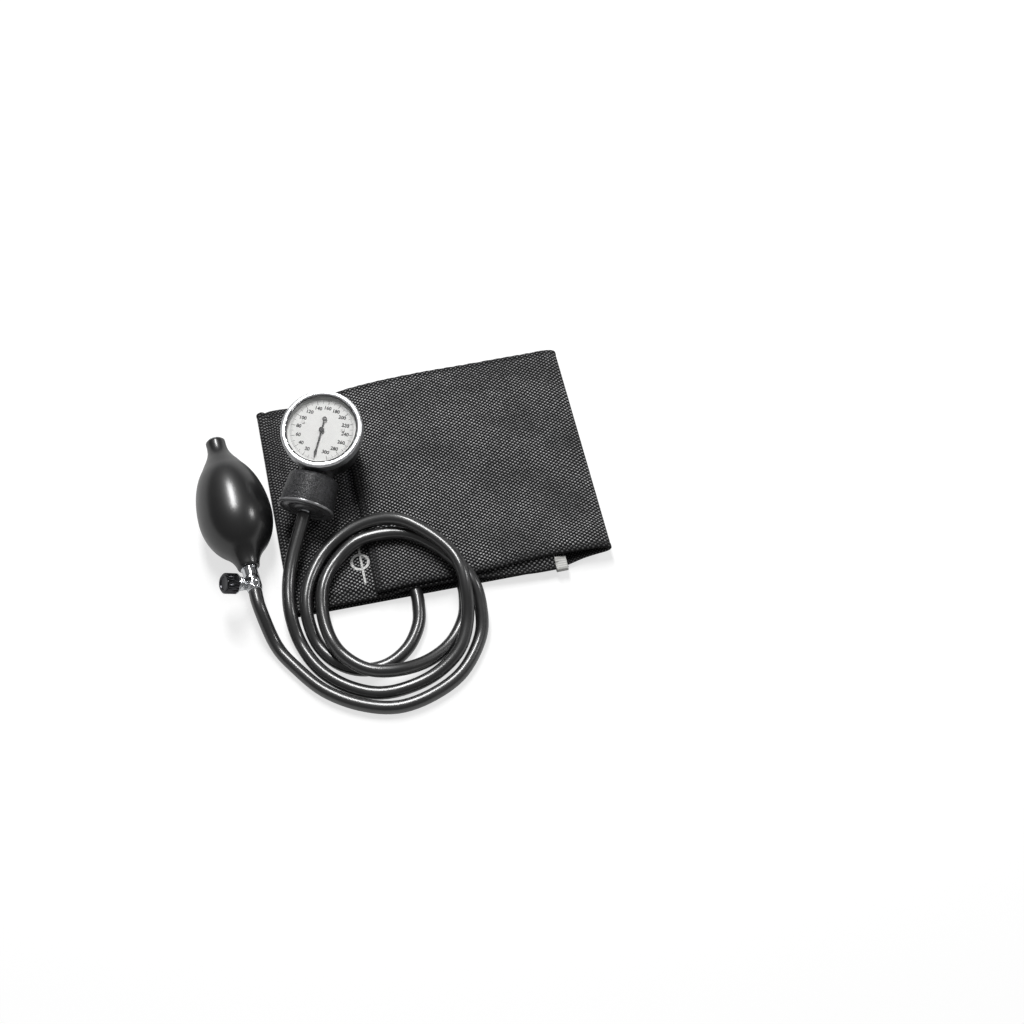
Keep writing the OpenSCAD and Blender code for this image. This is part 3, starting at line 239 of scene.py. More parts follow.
def sweep(name, line, radius_at, sides=16):
    """A closed tube along the line; its section doesn't turn round the line."""
    mesh = bmesh.new()
    uv = mesh.loops.layers.uv.new("UVMap")
    up = Vector((0, 0, 1))
    rings, run = [], 0.0
    for i, point in enumerate(line):
        ahead = (line[min(i + 1, len(line) - 1)] - line[max(i - 1, 0)]).normalized()
        side = ahead.cross(up).normalized()
        up = side.cross(ahead).normalized()
        if i:
            run += (point - line[i - 1]).length
        r = radius_at(run)
        rings.append((run, [mesh.verts.new(point + r * (math.cos(t) * side + math.sin(t) * up))
                            for t in (2 * math.pi * k / sides for k in range(sides))]))
    for (s0, a), (s1, b) in zip(rings, rings[1:]):
        for k in range(sides):
            n = (k + 1) % sides
            face = mesh.faces.new((a[k], a[n], b[n], b[k]))
            for loop, value in zip(face.loops, ((k, s0), (k + 1, s0), (k + 1, s1), (k, s1))):
                loop[uv].uv = (value[0] / sides, value[1])
    mesh.faces.new(list(reversed(rings[0][1])))
    mesh.faces.new(rings[-1][1])
    piece = keep_mesh(name, mesh)
    for cut_end in piece.data.polygons[-2:]:
        cut_end.use_smooth = False
    return piece


barb_l, barb_stretch = 9, 0.12
for name, line in lines.items():
    total = line_length(line)

    def radius_at(run, total=total):
        """The hose is stretched a little over the barb at its far end."""
        over_barb = 1 - min(1.0, (total - run) / (barb_l * MM))
        return (hose_d / 2 + barb_stretch * min(1.0, 3 * over_barb)) * MM

    hose = sweep(name + "_hose_rubber", line, radius_at)
    paint(hose, hose_rubber)
    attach(hose, "instrument")
    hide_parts(name + "_hose")
    print(name, "hose:", len(hose.data.polygons), "faces")

# %% [markdown]
# ## The cuff's cloth
# The cuff is one strip of two layers of woven nylon, sewn together round the edge and folded in three: the middle
# panel holds the rubber bladder, the bottom panel lies on the table, and the flap lies on top. A cloth simulation
# of layers a millimetre apart tends to tear through itself, so the strip is laid as given: a line through the
# folds, points set off from it to both sides, and small movements for the puff of the bladder, the turned hem,
# the puckers along the seams and a few creases. The sizes are those of the CAD model, in millimetres.

# %% Sizes of the cuff
cuff_w, cloth_t = 149.0, 0.9
half_seam, half_panel = 0.1, 1.0
patch_t, puff = 0.8, 2.4
bottom_z, middle_z, flap_z = 1.8, 6.45, 12.15
left_x, left_r = -90.675, 2.325
middle_end, flap_end = 67.0, -40.0
pocket_x0, pocket_x1 = -86.0, 66.0
hem = 3.4           # distance of the hem's stitches from the edge
cross_y = 49        # place of the flap's cross seam
hem_steps = (0.12, 0.35, 0.75, 1.3, 2.0, 2.7, 3.1, 3.4, 3.7, 4.2, 5.0)      # rows of points along every edge
mouth_x, mouth_half, mouth_ramp = -8.5, 17.9, 12.0      # the near edge stays open round the two ports
far_sag, far_draw = 0.4, 5.0        # how far the stack sinks and is drawn in at its far left corner


def smooth(u):
    v = max(0.0, min(1.0, u))
    return v * v * (3 - 2 * v)


def ripple(*place):
    """Noise from -1 to 1 that is the same on every run."""
    return noise.noise(Vector(place))


# %% The line through the folds
def arc(cx, cz, rx, rz, t0, t1, n):
    return [(cx + rx * math.cos(t), cz + rz * math.sin(t))
            for t in (math.radians(t0 + (t1 - t0) * i / n) for i in range(1, n))]


ramp = [(56.5 + 24.5 * u, bottom_z + 2.9 * smooth(u)) for u in (0.2, 0.4, 0.6, 0.8, 1.0)]
turn_back = [(86.5, 5.35), (90.2, 6.3), (92.5, 7.7), (92.95, 9.0), (92.0, 10.35), (89.3, 11.4), (85.3, 12.0)]
hem_curl = [(flap_end - 1.5, flap_z - 0.12), (flap_end - 2.9, flap_z - 0.4), (flap_end - 4.0, flap_z - 0.8)]
fold_line = ([(middle_end, middle_z), (left_x + 0.6, middle_z), (left_x, middle_z)]
             + arc(left_x, bottom_z + left_r, left_r, left_r, 90, 270, 12)
             + [(left_x, bottom_z), (left_x + 0.6, bottom_z), (51.6, bottom_z), (56.5, bottom_z)] + ramp + turn_back
             + [(80.5, flap_z), (76.0, flap_z), (flap_end + 1.5, flap_z), (flap_end, flap_z)] + hem_curl)


def stations_of(line, flat_step=1.9, fold_step=0.75):
    """Places along the strip: x, z, the outward normal, and the length run so far."""
    spots, dense, fine = [Vector(q) for q in line], [], 40
    for i in range(len(spots) - 1):
        straight = spots[i].y == spots[i + 1].y
        dense += [spots[i].lerp(spots[i + 1], k / fine) if straight else curve_at(spots, i, k / fine)
                  for k in range(fine)]
    dense.append(spots[-1])
    run = [0.0]
    for a, b in zip(dense, dense[1:]):
        run.append(run[-1] + (b - a).length)

    def at(s):
        k = next((i for i in range(1, len(run)) if run[i] >= s), len(run) - 1)
        u = (s - run[k - 1]) / max(1e-9, run[k] - run[k - 1])
        return dense[k - 1].lerp(dense[k], min(1.0, u))

    marks, s = list(hem_steps), 0.0
    margin = hem_steps[-1] + 0.8
    while s < run[-1]:
        here = at(s)
        folded = here.x < left_x + 3 or (here.x > 76 and here.y < 12.1) or s > run[-1] - 8
        s += fold_step if folded else flat_step
        if margin < s < run[-1] - margin:
            marks.append(s)
    places = []
    for s in [0.0] + marks + [run[-1] - e for e in reversed(hem_steps)] + [run[-1]]:
        ahead = at(min(run[-1], s + 0.3)) - at(max(0.0, s - 0.3))
        ahead.normalize()
        here = at(s)
        places.append((here.x, here.y, ahead.y, -ahead.x, s))
    return places, run[-1]


strip, strip_l = stations_of(fold_line)
edge_steps = [0.0, *hem_steps, 6.2, 7.6]
half_w = cuff_w / 2
inner_steps = [-66.9 + 133.8 * i / 74 for i in range(1, 74)]
columns = [-half_w + e for e in edge_steps] + inner_steps + [half_w - e for e in reversed(edge_steps)]
fold_at = {"middle": middle_end - left_x, "flap": strip_l - (92.0 - flap_end + 4.6)}
print("the strip is", round(strip_l, 1), "mm long:", len(strip), "stations of", len(columns), "points")

# %% [markdown]
# ## How the cloth gives
# The bladder puffs the middle panel up between its seams, and the layers stay open round the two ports. A turned
# hem is a little thicker than the cloth, its stitches pull in a groove, and the cloth puckers beside them. Every
# panel moves only as far as its neighbours leave room.

# %% Puff, hem, puckers and creases
creases = {
    "middle": [(-69.5, -60.5, -58.0, -72.5, 0.9, 1.5), (-64.0, -58.0, -55.0, -66.0, 0.5, 1.6),
               (-78.0, -40.0, -72.0, -72.0, 0.5, 2.0), (-88.0, 40.0, -84.5, 5.0, 0.5, 1.4)],
    "flap": [(62.0, -48.0, 49.0, -64.0, 0.45, 3.0), (-22.0, 72.0, -34.0, 62.0, 0.55, 3.0),
             (20.0, -60.0, 14.0, -72.0, 0.3, 2.0), (36.0, -58.0, 33.0, -71.0, 0.3, 2.0)],
    "bottom": []}


def crease(panel, x, y):
    """How deep a crease lies at this place; each is a line with a depth and a width."""
    deep = 0.0
    for x0, y0, x1, y1, depth, width in creases[panel]:
        along = Vector((x1 - x0, y1 - y0))
        u = ((x - x0) * along.x + (y - y0) * along.y) / along.length_squared
        off = (Vector((x, y)) - Vector((x0, y0)) - along * max(0.0, min(1.0, u))).length
        deep = max(deep, depth * math.exp(-(off / width) ** 2) * (1 - max(0.0, abs(u - 0.5) - 0.3) * 2))
    return max(0.0, deep)


def mouth(x):
    """How far the near edge stays open here for the two ports."""
    return smooth(1 - (abs(x - mouth_x) - mouth_half) / mouth_ramp)


def lift(x, y):
    """The bladder's puff of the middle panel."""
    side = smooth((half_w - 1.6 - abs(y)) / 6.5)
    if y < 0:
        side = max(side, mouth(x))
    return puff * smooth((x + 91.5) / 17) * smooth((pocket_x1 - x) / 8) * side


def pucker(along, off, seed):
    """Small waves across a seam, from 0 to 1, that fade with the distance from it."""
    wave = 0.5 + 0.5 * math.sin(2 * math.pi * (along / 7.2 + 0.9 * ripple(along / 17, seed, 0.5)))
    return wave * math.exp(-(off / 9) ** 2) * (0.65 + 0.5 * ripple(along / 23, seed, 7.5))


def share_of(s):
    """How far a station belongs to the middle panel and to the flap, from 0 to 1."""
    return smooth((fold_at["middle"] + 1 - s) / 7), smooth((s - fold_at["flap"]) / 22)


def edge_of(s, y):
    return min(half_w - abs(y), s, strip_l - s)


def faces_of(s, x, y):
    """Distance of the inner and the outer face of a woven layer from the strip's line."""
    e = edge_of(s, y)
    rolled = math.sqrt(max(0.0, 1 - (1 - min(1.0, e / 1.0)) ** 2))
    bulge = 0.22 * smooth(e / 1.2) * smooth((hem - e) / 0.7)
    groove = 0.28 * math.exp(-((e - hem) / 0.35) ** 2)
    up = lift(x, y) if s < fold_at["middle"] else 0.0
    inner = half_seam + up
    return inner, inner + 0.12 + (cloth_t - 0.12) * rolled + bulge * (s > 0) - groove


def give(s, x, y, z):
    """Where a point of the strip comes to lie: the folded stack isn't square, and its cloth isn't flat."""
    middle, flap = share_of(s)
    e_near, e_far = half_w + y, half_w - y
    # the flap's near edge stands back from the edge below, most of all where the tag shows
    back = (1.5 + 2.8 * math.exp(-((x - 60) / 34) ** 2)) * smooth((-y - 20) / 54)
    down = 0.0
    if middle:
        # creases and puckers sink only what the bladder has puffed up
        puffed = smooth((z - middle_z - 0.9) / 1.6)
        down = (crease("middle", x, y) + 0.5 * pucker(x, e_near, 2.5)
                + 0.35 * pucker(y, abs(x - pocket_x0), 5.5)
                + 0.35 * math.exp(-((x - pocket_x0) / 1.0) ** 2)) * puffed
        down += 0.45 * ripple(x / 19, 0.3, 6.6 + y / 75) * (1 - lift(x, y) / puff)
        down *= middle * (1 - mouth(x) * smooth(1 - e_near / 20))
        # its near edge comes out at the right, and its far left corner is drawn in
        y -= middle * 3.0 * smooth((x - 5) / 50) * smooth((-y - 30) / 44)
        y -= middle * 3.2 * smooth((-45 - x) / 30) * smooth((y - 35) / 38)
    elif flap:
        # the flap droops at both long edges, less at the right and over the ports, and has one cross seam
        droop = 1.4 - mouth(x) - 0.6 * smooth((x - 5) / 25)
        down = (crease("flap", x, y) + 0.42 * pucker(x, e_near, 1.5) + 0.7 * pucker(x + 0.5 * y, e_far, 4.5)
                + droop * smooth(1 - e_near / 8) + 0.5 * smooth(1 - e_far / 10)
                + 0.2 * pucker(y, max(0.0, x - flap_end), 9.5)
                + 0.3 * math.exp(-((y - cross_y) / 0.9) ** 2) * smooth((x - 50) / 6)) * flap
        y += back
    else:
        y += back * smooth((x - 62) / 28)
    # the far left corner: the lower layers come out under the middle panel, and the stack sinks and is drawn in
    y += (1 - middle) * 2.5 * smooth((-58 - x) / 25) * smooth((y - 35) / 38) * (0.4 + 0.6 * smooth((x + 93) / 8))
    sunk = far_sag * smooth((-20 - x) / 60) * smooth((y - 5) / 65) + 0.022 * (1 + ripple(x / 34, y / 30, 3.3))
    y -= far_draw * smooth((15 - x) / 110) * smooth((y + 30) / 104)
    return Vector((x, y, patch_t + (z - down - patch_t) * (1 - sunk)))


# %% Lay a woven layer
def lay_cloth(name, side, material):
    """One layer of the strip, on its outer side (1) or its inner side (-1), as one closed sheet."""
    mesh = bmesh.new()
    uv = mesh.loops.layers.uv.new("UVMap")
    sheets = [[], []]
    for x, z, nx, nz, s in strip:
        rows = [[], []]
        for y in columns:
            for row, d in zip(rows, faces_of(s, x, y)):
                d *= side
                row.append(mesh.verts.new(give(s, x + d * nx, y, z + d * nz) * MM))
        for sheet, row in zip(sheets, rows):
            sheet.append(row)
    inner, outer = sheets

    def quad(a, b, c, d, spots):
        face = mesh.faces.new((a, b, c, d))
        for loop, (i, j) in zip(face.loops, spots):
            loop[uv].uv = (strip[i][4] * MM, columns[j] * MM)

    last, end = len(columns) - 1, len(strip) - 1
    for i in range(end):
        for j in range(last):
            spots = [(i, j), (i, j + 1), (i + 1, j + 1), (i + 1, j)]
            quad(*[outer[a][b] for a, b in spots], spots)
            spots.reverse()
            quad(*[inner[a][b] for a, b in spots], spots)
        for j in (0, last):
            quad(outer[i][j], outer[i + 1][j], inner[i + 1][j], inner[i][j], [(i, j), (i + 1, j), (i + 1, j), (i, j)])
    for j in range(last):
        for i in (0, end):
            quad(outer[i][j], outer[i][j + 1], inner[i][j + 1], inner[i][j], [(i, j), (i, j + 1), (i, j + 1), (i, j)])
    piece = keep_mesh(name, mesh)
    paint(piece, material)
    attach(piece, "instrument")
    return piece


# %% [markdown]
# ## Woven nylon
# The cloth is an oxford weave of black nylon: bundles of shiny flat threads go over and under each other, and
# where a bundle comes up it catches the light as a dot. That glint is painted into the colour as a painted
# highlight: each raised cell is painted pale, though the thread is black, and in some bands it is painted darker
# as painted shade. Real bundles are about half a millimetre wide, which is finer than the picture can show, so the
# cells are drawn 1.5 by 1.15 mm. The pattern follows the strip through the UV map, which is in metres along and
# across the strip, and each cell is rounded and ribbed by its threads.

# %% Woven nylon
def woven_nylon(name, dark, light, cell_u=1.5, cell_v=1.15, shade_bands=()):
    material, tree, shader = new_finish(name, dark, 0.5, IOR=1.53, Specular_IOR_Level=0.4)
    cells = add_node(tree, "Mapping", {"Vector": add_node(tree, "TexCoord", out="UV"),
                                       "Scale": (1000 / cell_u, 1000 / cell_v, 1)})
    wander = add_node(tree, "TexNoise", {"Vector": cells, "Scale": 0.07, "Detail": 1.0}, out="Color")
    spot = add_node(tree, "VectorMath", {0: wander, 1: (1.3, 1.3, 0.0), 2: cells}, operation="MULTIPLY_ADD")
    over = add_node(tree, "TexChecker", {"Vector": spot, "Scale": 1.0}, out="Fac")
    axes = add_node(tree, "SeparateXYZ", {"Vector": spot}, out="X").node.outputs
    humps = []
    for axis in ("X", "Y"):
        wave = add_node(tree, "Math", {0: axes[axis], 1: 0.5}, operation="PINGPONG")
        humps.append(scaled(tree, wave, 0.0, 0.36, interpolation_type="SMOOTHSTEP"))
    hump = product(tree, *humps)
    sheen_dot = product(tree, hump, over)
    thread = add_node(tree, "Math", {0: product(tree, axes["Y"], 3.0), 1: 0.5}, operation="PINGPONG")
    bundle = add_node(tree, "VectorMath", {0: spot}, operation="FLOOR")
    strength = scaled(tree, add_node(tree, "TexWhiteNoise", {"Vector": bundle}, out="Value"), 0.0, 1.0, 0.55, 1.0)
    slow = add_node(tree, "TexNoise", {"Vector": cells, "Scale": 0.045, "Detail": 3.0})
    # random patches of the painted sheen, which the painted shade bands below dim further
    sheen_patches_and_shade = scaled(tree, slow, 0.35, 0.65, 0.6, 1.05)
    at = add_node(tree, "SeparateXYZ", {"Vector": add_node(tree, "TexCoord", out="UV")}).node.outputs
    # painted shade: each band dims the pale dots along the edges, at the flap's free end and on the left strip round
    # the fold
    for axis, start, stop, least in shade_bands:
        band = scaled(tree, at[axis], start * MM, stop * MM, 1.0, least, interpolation_type="SMOOTHSTEP")
        sheen_patches_and_shade = product(tree, sheen_patches_and_shade, band)
    # painted highlight: each raised bundle of black thread is painted pale in place of its glint, varied at random by
    # patch and by bundle
    tint(tree, shader, product(tree, sheen_dot, product(tree, sheen_patches_and_shade, strength)), dark, light)
    roughen(tree, shader, sheen_dot, 1.0, 0.34)
    emboss(tree, shader, add_node(tree, "Math", {0: thread, 1: 0.25, 2: hump}, operation="MULTIPLY_ADD"), 0.4, 0.3)
    return material


# bands along the strip (X) and across it (Y), in mm, past which the pale dots are dimmed as painted shade: the near
# and far edges, the flap's free end and the left strip round the fold; past 200 mm, round the left fold, they are
# painted in full again
painted_shade_bands = (("Y", -70.5, -72.5, 0.25), ("Y", 69.0, 73.0, 0.5), ("X", strip_l - 5.2, strip_l - 3.6, 0.25),
                 ("X", 146.0, 151.0, 0.5), ("X", 200.0, 210.0, 2.0))
black_oxford = woven_nylon("black_oxford_nylon", "#0a0a0c", "#bcbcbd", shade_bands=painted_shade_bands)
lining_oxford = woven_nylon("black_lining_nylon", "#121213", "#6a6a6c", 1.0, 1.0)

# %% Both layers of the cuff
cuff_cloth = lay_cloth("cuff_outer_weave", 1, black_oxford)
cuff_back = lay_cloth("cuff_lining_weave", -1, lining_oxford)
for piece, node, slot in ((cuff_cloth, "cuff_outer_cloth", "woven_nylon"), (cuff_back, "cuff_lining", "lining_nylon")):
    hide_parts(node)
    print(piece.name, len(piece.data.polygons), "faces")

# %% [markdown]
# ## Size tag
# A short light grey tape is folded over the near edge at the free end of the middle panel and sewn in with it. It
# is laid as the cloth is: a ribbon that starts on top, runs over the edge and ends underneath, a little off the
# cloth. The tape is a grosgrain, so its finish has fine ribs across it.

# %% Size tag
tag_tape, tree, shader = new_finish("grey_grosgrain_tape", "#c9c9c6", 0.6, IOR=1.5)
ribs = add_node(tree, "TexWave", {"Vector": add_node(tree, "TexCoord", out="UV"), "Scale": 200.0, "Distortion": 0.4},
                out="Fac", bands_direction="Y")
tint(tree, shader, ribs, "#b4b4b2", "#d6d6d2")
emboss(tree, shader, ribs, 0.4)

tag_x0, tag_x1, tag_t = 59.9, 66.6, 0.35
tag_r = 1.42        # the tape lies this far above and below the panel's middle, and turns round the edge with it
tag_steps = 8       # faces across the tape's width


def tag_line(x):
    """Places across the tape, from its end on top of the cuff round the near edge to its end underneath."""
    s = middle_end - x
    across = [(-half_w + 6.6 * (1 - k / 12), tag_r) for k in range(13)]
    across += [(-half_w - tag_r * math.sin(t), tag_r * math.cos(t))
               for t in (math.radians(15 * k) for k in range(1, 12))]
    across += [(-half_w + 5.2 * k / 10, -tag_r) for k in range(11)]
    return [give(s, x, y, middle_z + d + math.copysign(lift(x, max(y, -half_w)), d)) for y, d in across]


mesh = bmesh.new()
uv = mesh.loops.layers.uv.new("UVMap")
grid = []
for i in range(tag_steps + 1):
    x = tag_x0 + (tag_x1 - tag_x0) * i / tag_steps
    line = tag_line(x)
    skins = [[], []]
    for k, p in enumerate(line):
        ahead = (line[min(k + 1, len(line) - 1)] - line[max(k - 1, 0)]).normalized()
        out = Vector((0, ahead.z, -ahead.y)).normalized()
        for skin, d in zip(skins, (0.06, 0.06 + tag_t)):
            skin.append(mesh.verts.new((p + d * out) * MM))
    grid.append(skins)
runs = range(len(grid[0][0]) - 1)
for i in range(tag_steps):
    for k in runs:
        for skin in (0, 1):
            face = mesh.faces.new((grid[i][skin][k], grid[i + 1][skin][k], grid[i + 1][skin][k + 1],
                                   grid[i][skin][k + 1]))
            for loop, (a, b) in zip(face.loops, ((i, k), (i + 1, k), (i + 1, k + 1), (i, k + 1))):
                loop[uv].uv = (a * 0.84 * MM, b * 0.6 * MM)
for k in runs:
    for i in (0, tag_steps):
        mesh.faces.new((grid[i][0][k], grid[i][0][k + 1], grid[i][1][k + 1], grid[i][1][k]))
for i in range(tag_steps):
    for k in (0, -1):
        mesh.faces.new((grid[i][0][k], grid[i + 1][0][k], grid[i + 1][1][k], grid[i][1][k]))
tag = keep_mesh("size_tag_tape", mesh)
paint(tag, tag_tape)
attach(tag, "instrument")
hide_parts("size_tag")
tag_l = sum((b - a).length for a, b in zip(tag_line(63), tag_line(63)[1:]))
print("the tag's tape is", round(tag_l, 1), "mm long")

# %% [markdown]
# ## Hook and loop patches
# Both patches are nylon tape sewn to the cuff: the loop patch is a napped field under the bottom panel, and the
# hook patch lies under the flap. Each starts as a grid, its corners are rounded by moving the points in, it is
# given the cloth's own movement, and Solidify gives the tape its thickness. Single hooks are a tenth of a
# millimetre thick and lie out of sight, so they are left to the bump.

# %% Patches
hook_loop, tree, shader = new_finish("napped_black_nylon", "#151516", 0.85, Sheen_Weight=0.3)
nap = speckle(tree, 2200.0, Detail=4.0)
tint(tree, shader, nap, "#0e0e0f", "#2b2b2d")
emboss(tree, shader, nap, 0.8, 0.3)


def open_new(piece_name):
    """Gives the object that an operator has just made its name."""
    piece = bpy.context.active_object
    piece.name = piece.data.name = piece_name
    return piece


def apply_all(piece):
    bpy.ops.object.select_all(action="DESELECT")
    piece.select_set(True)
    bpy.context.view_layer.objects.active = piece
    for modifier in list(piece.modifiers):
        bpy.ops.object.modifier_apply(modifier=modifier.name)


def round_corner(x, y, half_l, half_w, corner):
    """Moves a point of a rectangular grid in, so that each corner is a quarter of a circle."""
    over_x, over_y = max(0.0, abs(x) - half_l + corner), max(0.0, abs(y) - half_w + corner)
    if over_x and over_y:
        k = max(over_x, over_y) / math.hypot(over_x, over_y)
        x -= math.copysign(over_x * (1 - k), x)
        y -= math.copysign(over_y * (1 - k), y)
    return x, y


def sew_patch(name, length, width, centre_x, thickness, place, corner=6.0):
    bpy.ops.mesh.primitive_grid_add(x_subdivisions=40, y_subdivisions=60, size=1)
    piece = open_new(name)
    for vertex in piece.data.vertices:
        x, y = round_corner(vertex.co.x * length, vertex.co.y * width, length / 2, width / 2, corner)
        vertex.co = place(centre_x + x, y) * MM
    shell = piece.modifiers.new("tape", "SOLIDIFY")
    shell.thickness = thickness * MM
    shell.offset = 0
    apply_all(piece)
    paint(piece, hook_loop)
    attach(piece, "instrument")
    print(name, length, "by", width, "mm")
    return piece


patch_s = strip_l - 60
hook = sew_patch("hook_patch_tape", 62, 118, -6, 0.62, lambda x, y: give(patch_s, x, y, flap_z - half_panel - 0.42))
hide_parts("hook_patch")
loop = sew_patch("loop_patch_tape", 164, 118, 0, 0.7, lambda x, y: Vector((x, y, 0.38)))
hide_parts("loop_patch")

# %% [markdown]
# ## Bladder and its ports
# The bladder is a flat rubber bag that fills the middle panel's pocket, with two short tubes moulded to its near
# edge. It can't be seen while the cuff is whole, but it is there: a cube is stretched to its size, subdivided and
# rounded off, and then follows the cloth that lies on it. Each port is an outline spun round its axis, with the
# bead that keeps a hose on.

# %% Rubber of the bladder
bladder_rubber, tree, shader = new_finish("moulded_black_rubber", "#1a1a1b", 0.55, IOR=1.5)
powder = speckle(tree, 90.0, Detail=6.0)
roughen(tree, shader, powder, 0.45, 0.75)
emboss(tree, shader, powder, 0.2, 0.2)

# %% Bladder
bladder_x0, bladder_x1 = -79.0, 59.0
bladder_l, bladder_w = (bladder_x1 - bladder_x0) / 2, 60.0      # half its length and half its width
edge_t, middle_t = 0.5, 1.55        # half its thickness at the edge, and how much it gains inwards
bpy.ops.mesh.primitive_cube_add(size=2)
bladder = open_new("bladder_bag")
bpy.ops.object.mode_set(mode="EDIT")
bpy.ops.mesh.select_all(action="SELECT")
bpy.ops.mesh.subdivide(number_cuts=31)
bpy.ops.object.mode_set(mode="OBJECT")
for vertex in bladder.data.vertices:
    u, v, w = vertex.co
    x, y = round_corner(u * bladder_l, v * bladder_w, bladder_l, bladder_w, 9)
    inside = min(bladder_l - abs(x), bladder_w - abs(y))
    thick = edge_t + middle_t * smooth(inside / 9) if abs(w) > 0.99 else edge_t
    x += (bladder_x0 + bladder_x1) / 2
    vertex.co = give(middle_end - x, x, y, middle_z + w * thick) * MM
bladder.data.shade_smooth()
paint(bladder, bladder_rubber)
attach(bladder, "instrument")
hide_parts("bladder")
print("bladder:", len(bladder.data.polygons), "faces")


# %% Spin an outline
def draw_outline(name, outline, closed=True):
    """A chain of edges in the XZ plane through points (radius, height), drawn by extruding one point."""
    bpy.ops.mesh.primitive_plane_add(size=MM)
    piece = open_new(name)
    bpy.ops.object.mode_set(mode="EDIT")
    bpy.ops.mesh.select_mode(type="VERT")
    bpy.ops.mesh.select_all(action="SELECT")
    bpy.ops.mesh.merge(type="CENTER")
    bpy.ops.transform.translate(value=(outline[0][0] * MM, 0, outline[0][1] * MM))
    ahead = outline[1:] + outline[:1] if closed else outline[1:]
    for (r0, z0), (r1, z1) in zip(outline, ahead):
        bpy.ops.mesh.extrude_region_move(TRANSFORM_OT_translate={"value": ((r1 - r0) * MM, 0, (z1 - z0) * MM)})
    return piece


def turned(name, outline, sides, place, closed=True, smooth_angle=35):
    """A turned form: the outline is spun round Z, cleaned, and put in its place on the object."""
    piece = draw_outline(name, outline, closed)
    bpy.ops.mesh.select_all(action="SELECT")
    bpy.ops.mesh.spin(steps=sides, angle=2 * math.pi, center=(0, 0, 0), axis=(0, 0, 1))
    bpy.ops.mesh.select_all(action="SELECT")
    bpy.ops.mesh.remove_doubles(threshold=1e-6)
    bpy.ops.mesh.normals_make_consistent(inside=False)
    bpy.ops.object.mode_set(mode="OBJECT")
    bpy.ops.object.shade_smooth_by_angle(angle=math.radians(smooth_angle))
    piece.data.transform(metres(place))
    return piece


def metres(place):
    """The same turn as place, with its shift in metres."""
    moved = place.copy()
    moved.translation = place.translation * MM
    return moved


port_outline = [(1.3, 14.0), (1.3, -9.0), (1.7, -9.0), (2.15, -8.6), (2.2, -7.6), (2.2, -2.0), (2.2, 14.0)]
ports = []
for x in (-22, 5):
    port = turned(f"port_tube_{len(ports) + 1}", [(r, -z) for r, z in port_outline], 32,
                  Matrix.Translation((x, -74.5, middle_z)) @ Matrix.Rotation(math.radians(90), 4, "X"))
    paint(port, bladder_rubber)
    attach(port, "instrument")
    ports.append(port)
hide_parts("bladder_ports")
print("ports:", [len(p.data.polygons) for p in ports])

# %% [markdown]
# ## Stitches
# The hem, the pocket of the bladder and the flap's cross seam are sewn with one kind of stitch: 2.2 mm of bonded
# thread that dips into the cloth at both ends. It is modelled once, from a six-sided cylinder whose ends are drawn
# out and sunk, and copied along every seam. Each copy lies on the cloth's own surface, and all are one mesh.

# %% One stitch
thread_r, flat_l, end_l, end_sink = 0.17, 1.3, 0.45, 0.16
bpy.ops.mesh.primitive_cylinder_add(vertices=6, radius=thread_r * MM, depth=flat_l * MM, rotation=(0, math.pi / 2, 0))
one_stitch = open_new("one_stitch")
bpy.ops.object.transform_apply(location=False, rotation=True, scale=False)
bpy.ops.object.mode_set(mode="EDIT")
bpy.ops.mesh.select_mode(type="FACE")
for way in (-1, 1):
    bpy.ops.mesh.select_all(action="DESELECT")
    bpy.ops.object.mode_set(mode="OBJECT")
    for face in one_stitch.data.polygons:
        face.select = face.normal.x * way > 0.9
    bpy.ops.object.mode_set(mode="EDIT")
    bpy.ops.mesh.extrude_region_move(TRANSFORM_OT_translate={"value": (way * end_l * MM, 0, -end_sink * MM)})
    bpy.ops.transform.resize(value=(1, 0.55, 0.55))
bpy.ops.object.mode_set(mode="OBJECT")
stitch_points = [v.co.copy() for v in one_stitch.data.vertices]
stitch_faces = [tuple(f.vertices) for f in one_stitch.data.polygons]
bpy.data.objects.remove(one_stitch)
print("one stitch has", len(stitch_faces), "faces")


# %% Seams
def station(s):
    """Place and normal of the strip's line at the length s."""
    k = next((i for i in range(1, len(strip)) if strip[i][4] >= s), len(strip) - 1)
    a, b = strip[k - 1], strip[k]
    u = (s - a[4]) / max(1e-9, b[4] - a[4])
    return [p + (q - p) * u for p, q in zip(a[:4], b[:4])]


def on_cloth(s, y, over=0.0):
    """A point on the outer face of the cuff, in mm."""
    x, z, nx, nz = station(s)
    d = faces_of(s, x, y)[1] + over
    return give(s, x + d * nx, y, z + d * nz)


def flap_s(x):
    return strip_l - 4.2 - (x - flap_end)


def seam(a, b, pitch=3.0):
    """Pairs of points (s, y) of the stitches from a to b."""
    count = max(1, int(math.dist(a, b) / pitch))
    at = [(a[0] + (b[0] - a[0]) * i / count, a[1] + (b[1] - a[1]) * i / count) for i in range(count + 1)]
    return list(zip(at, at[1:]))


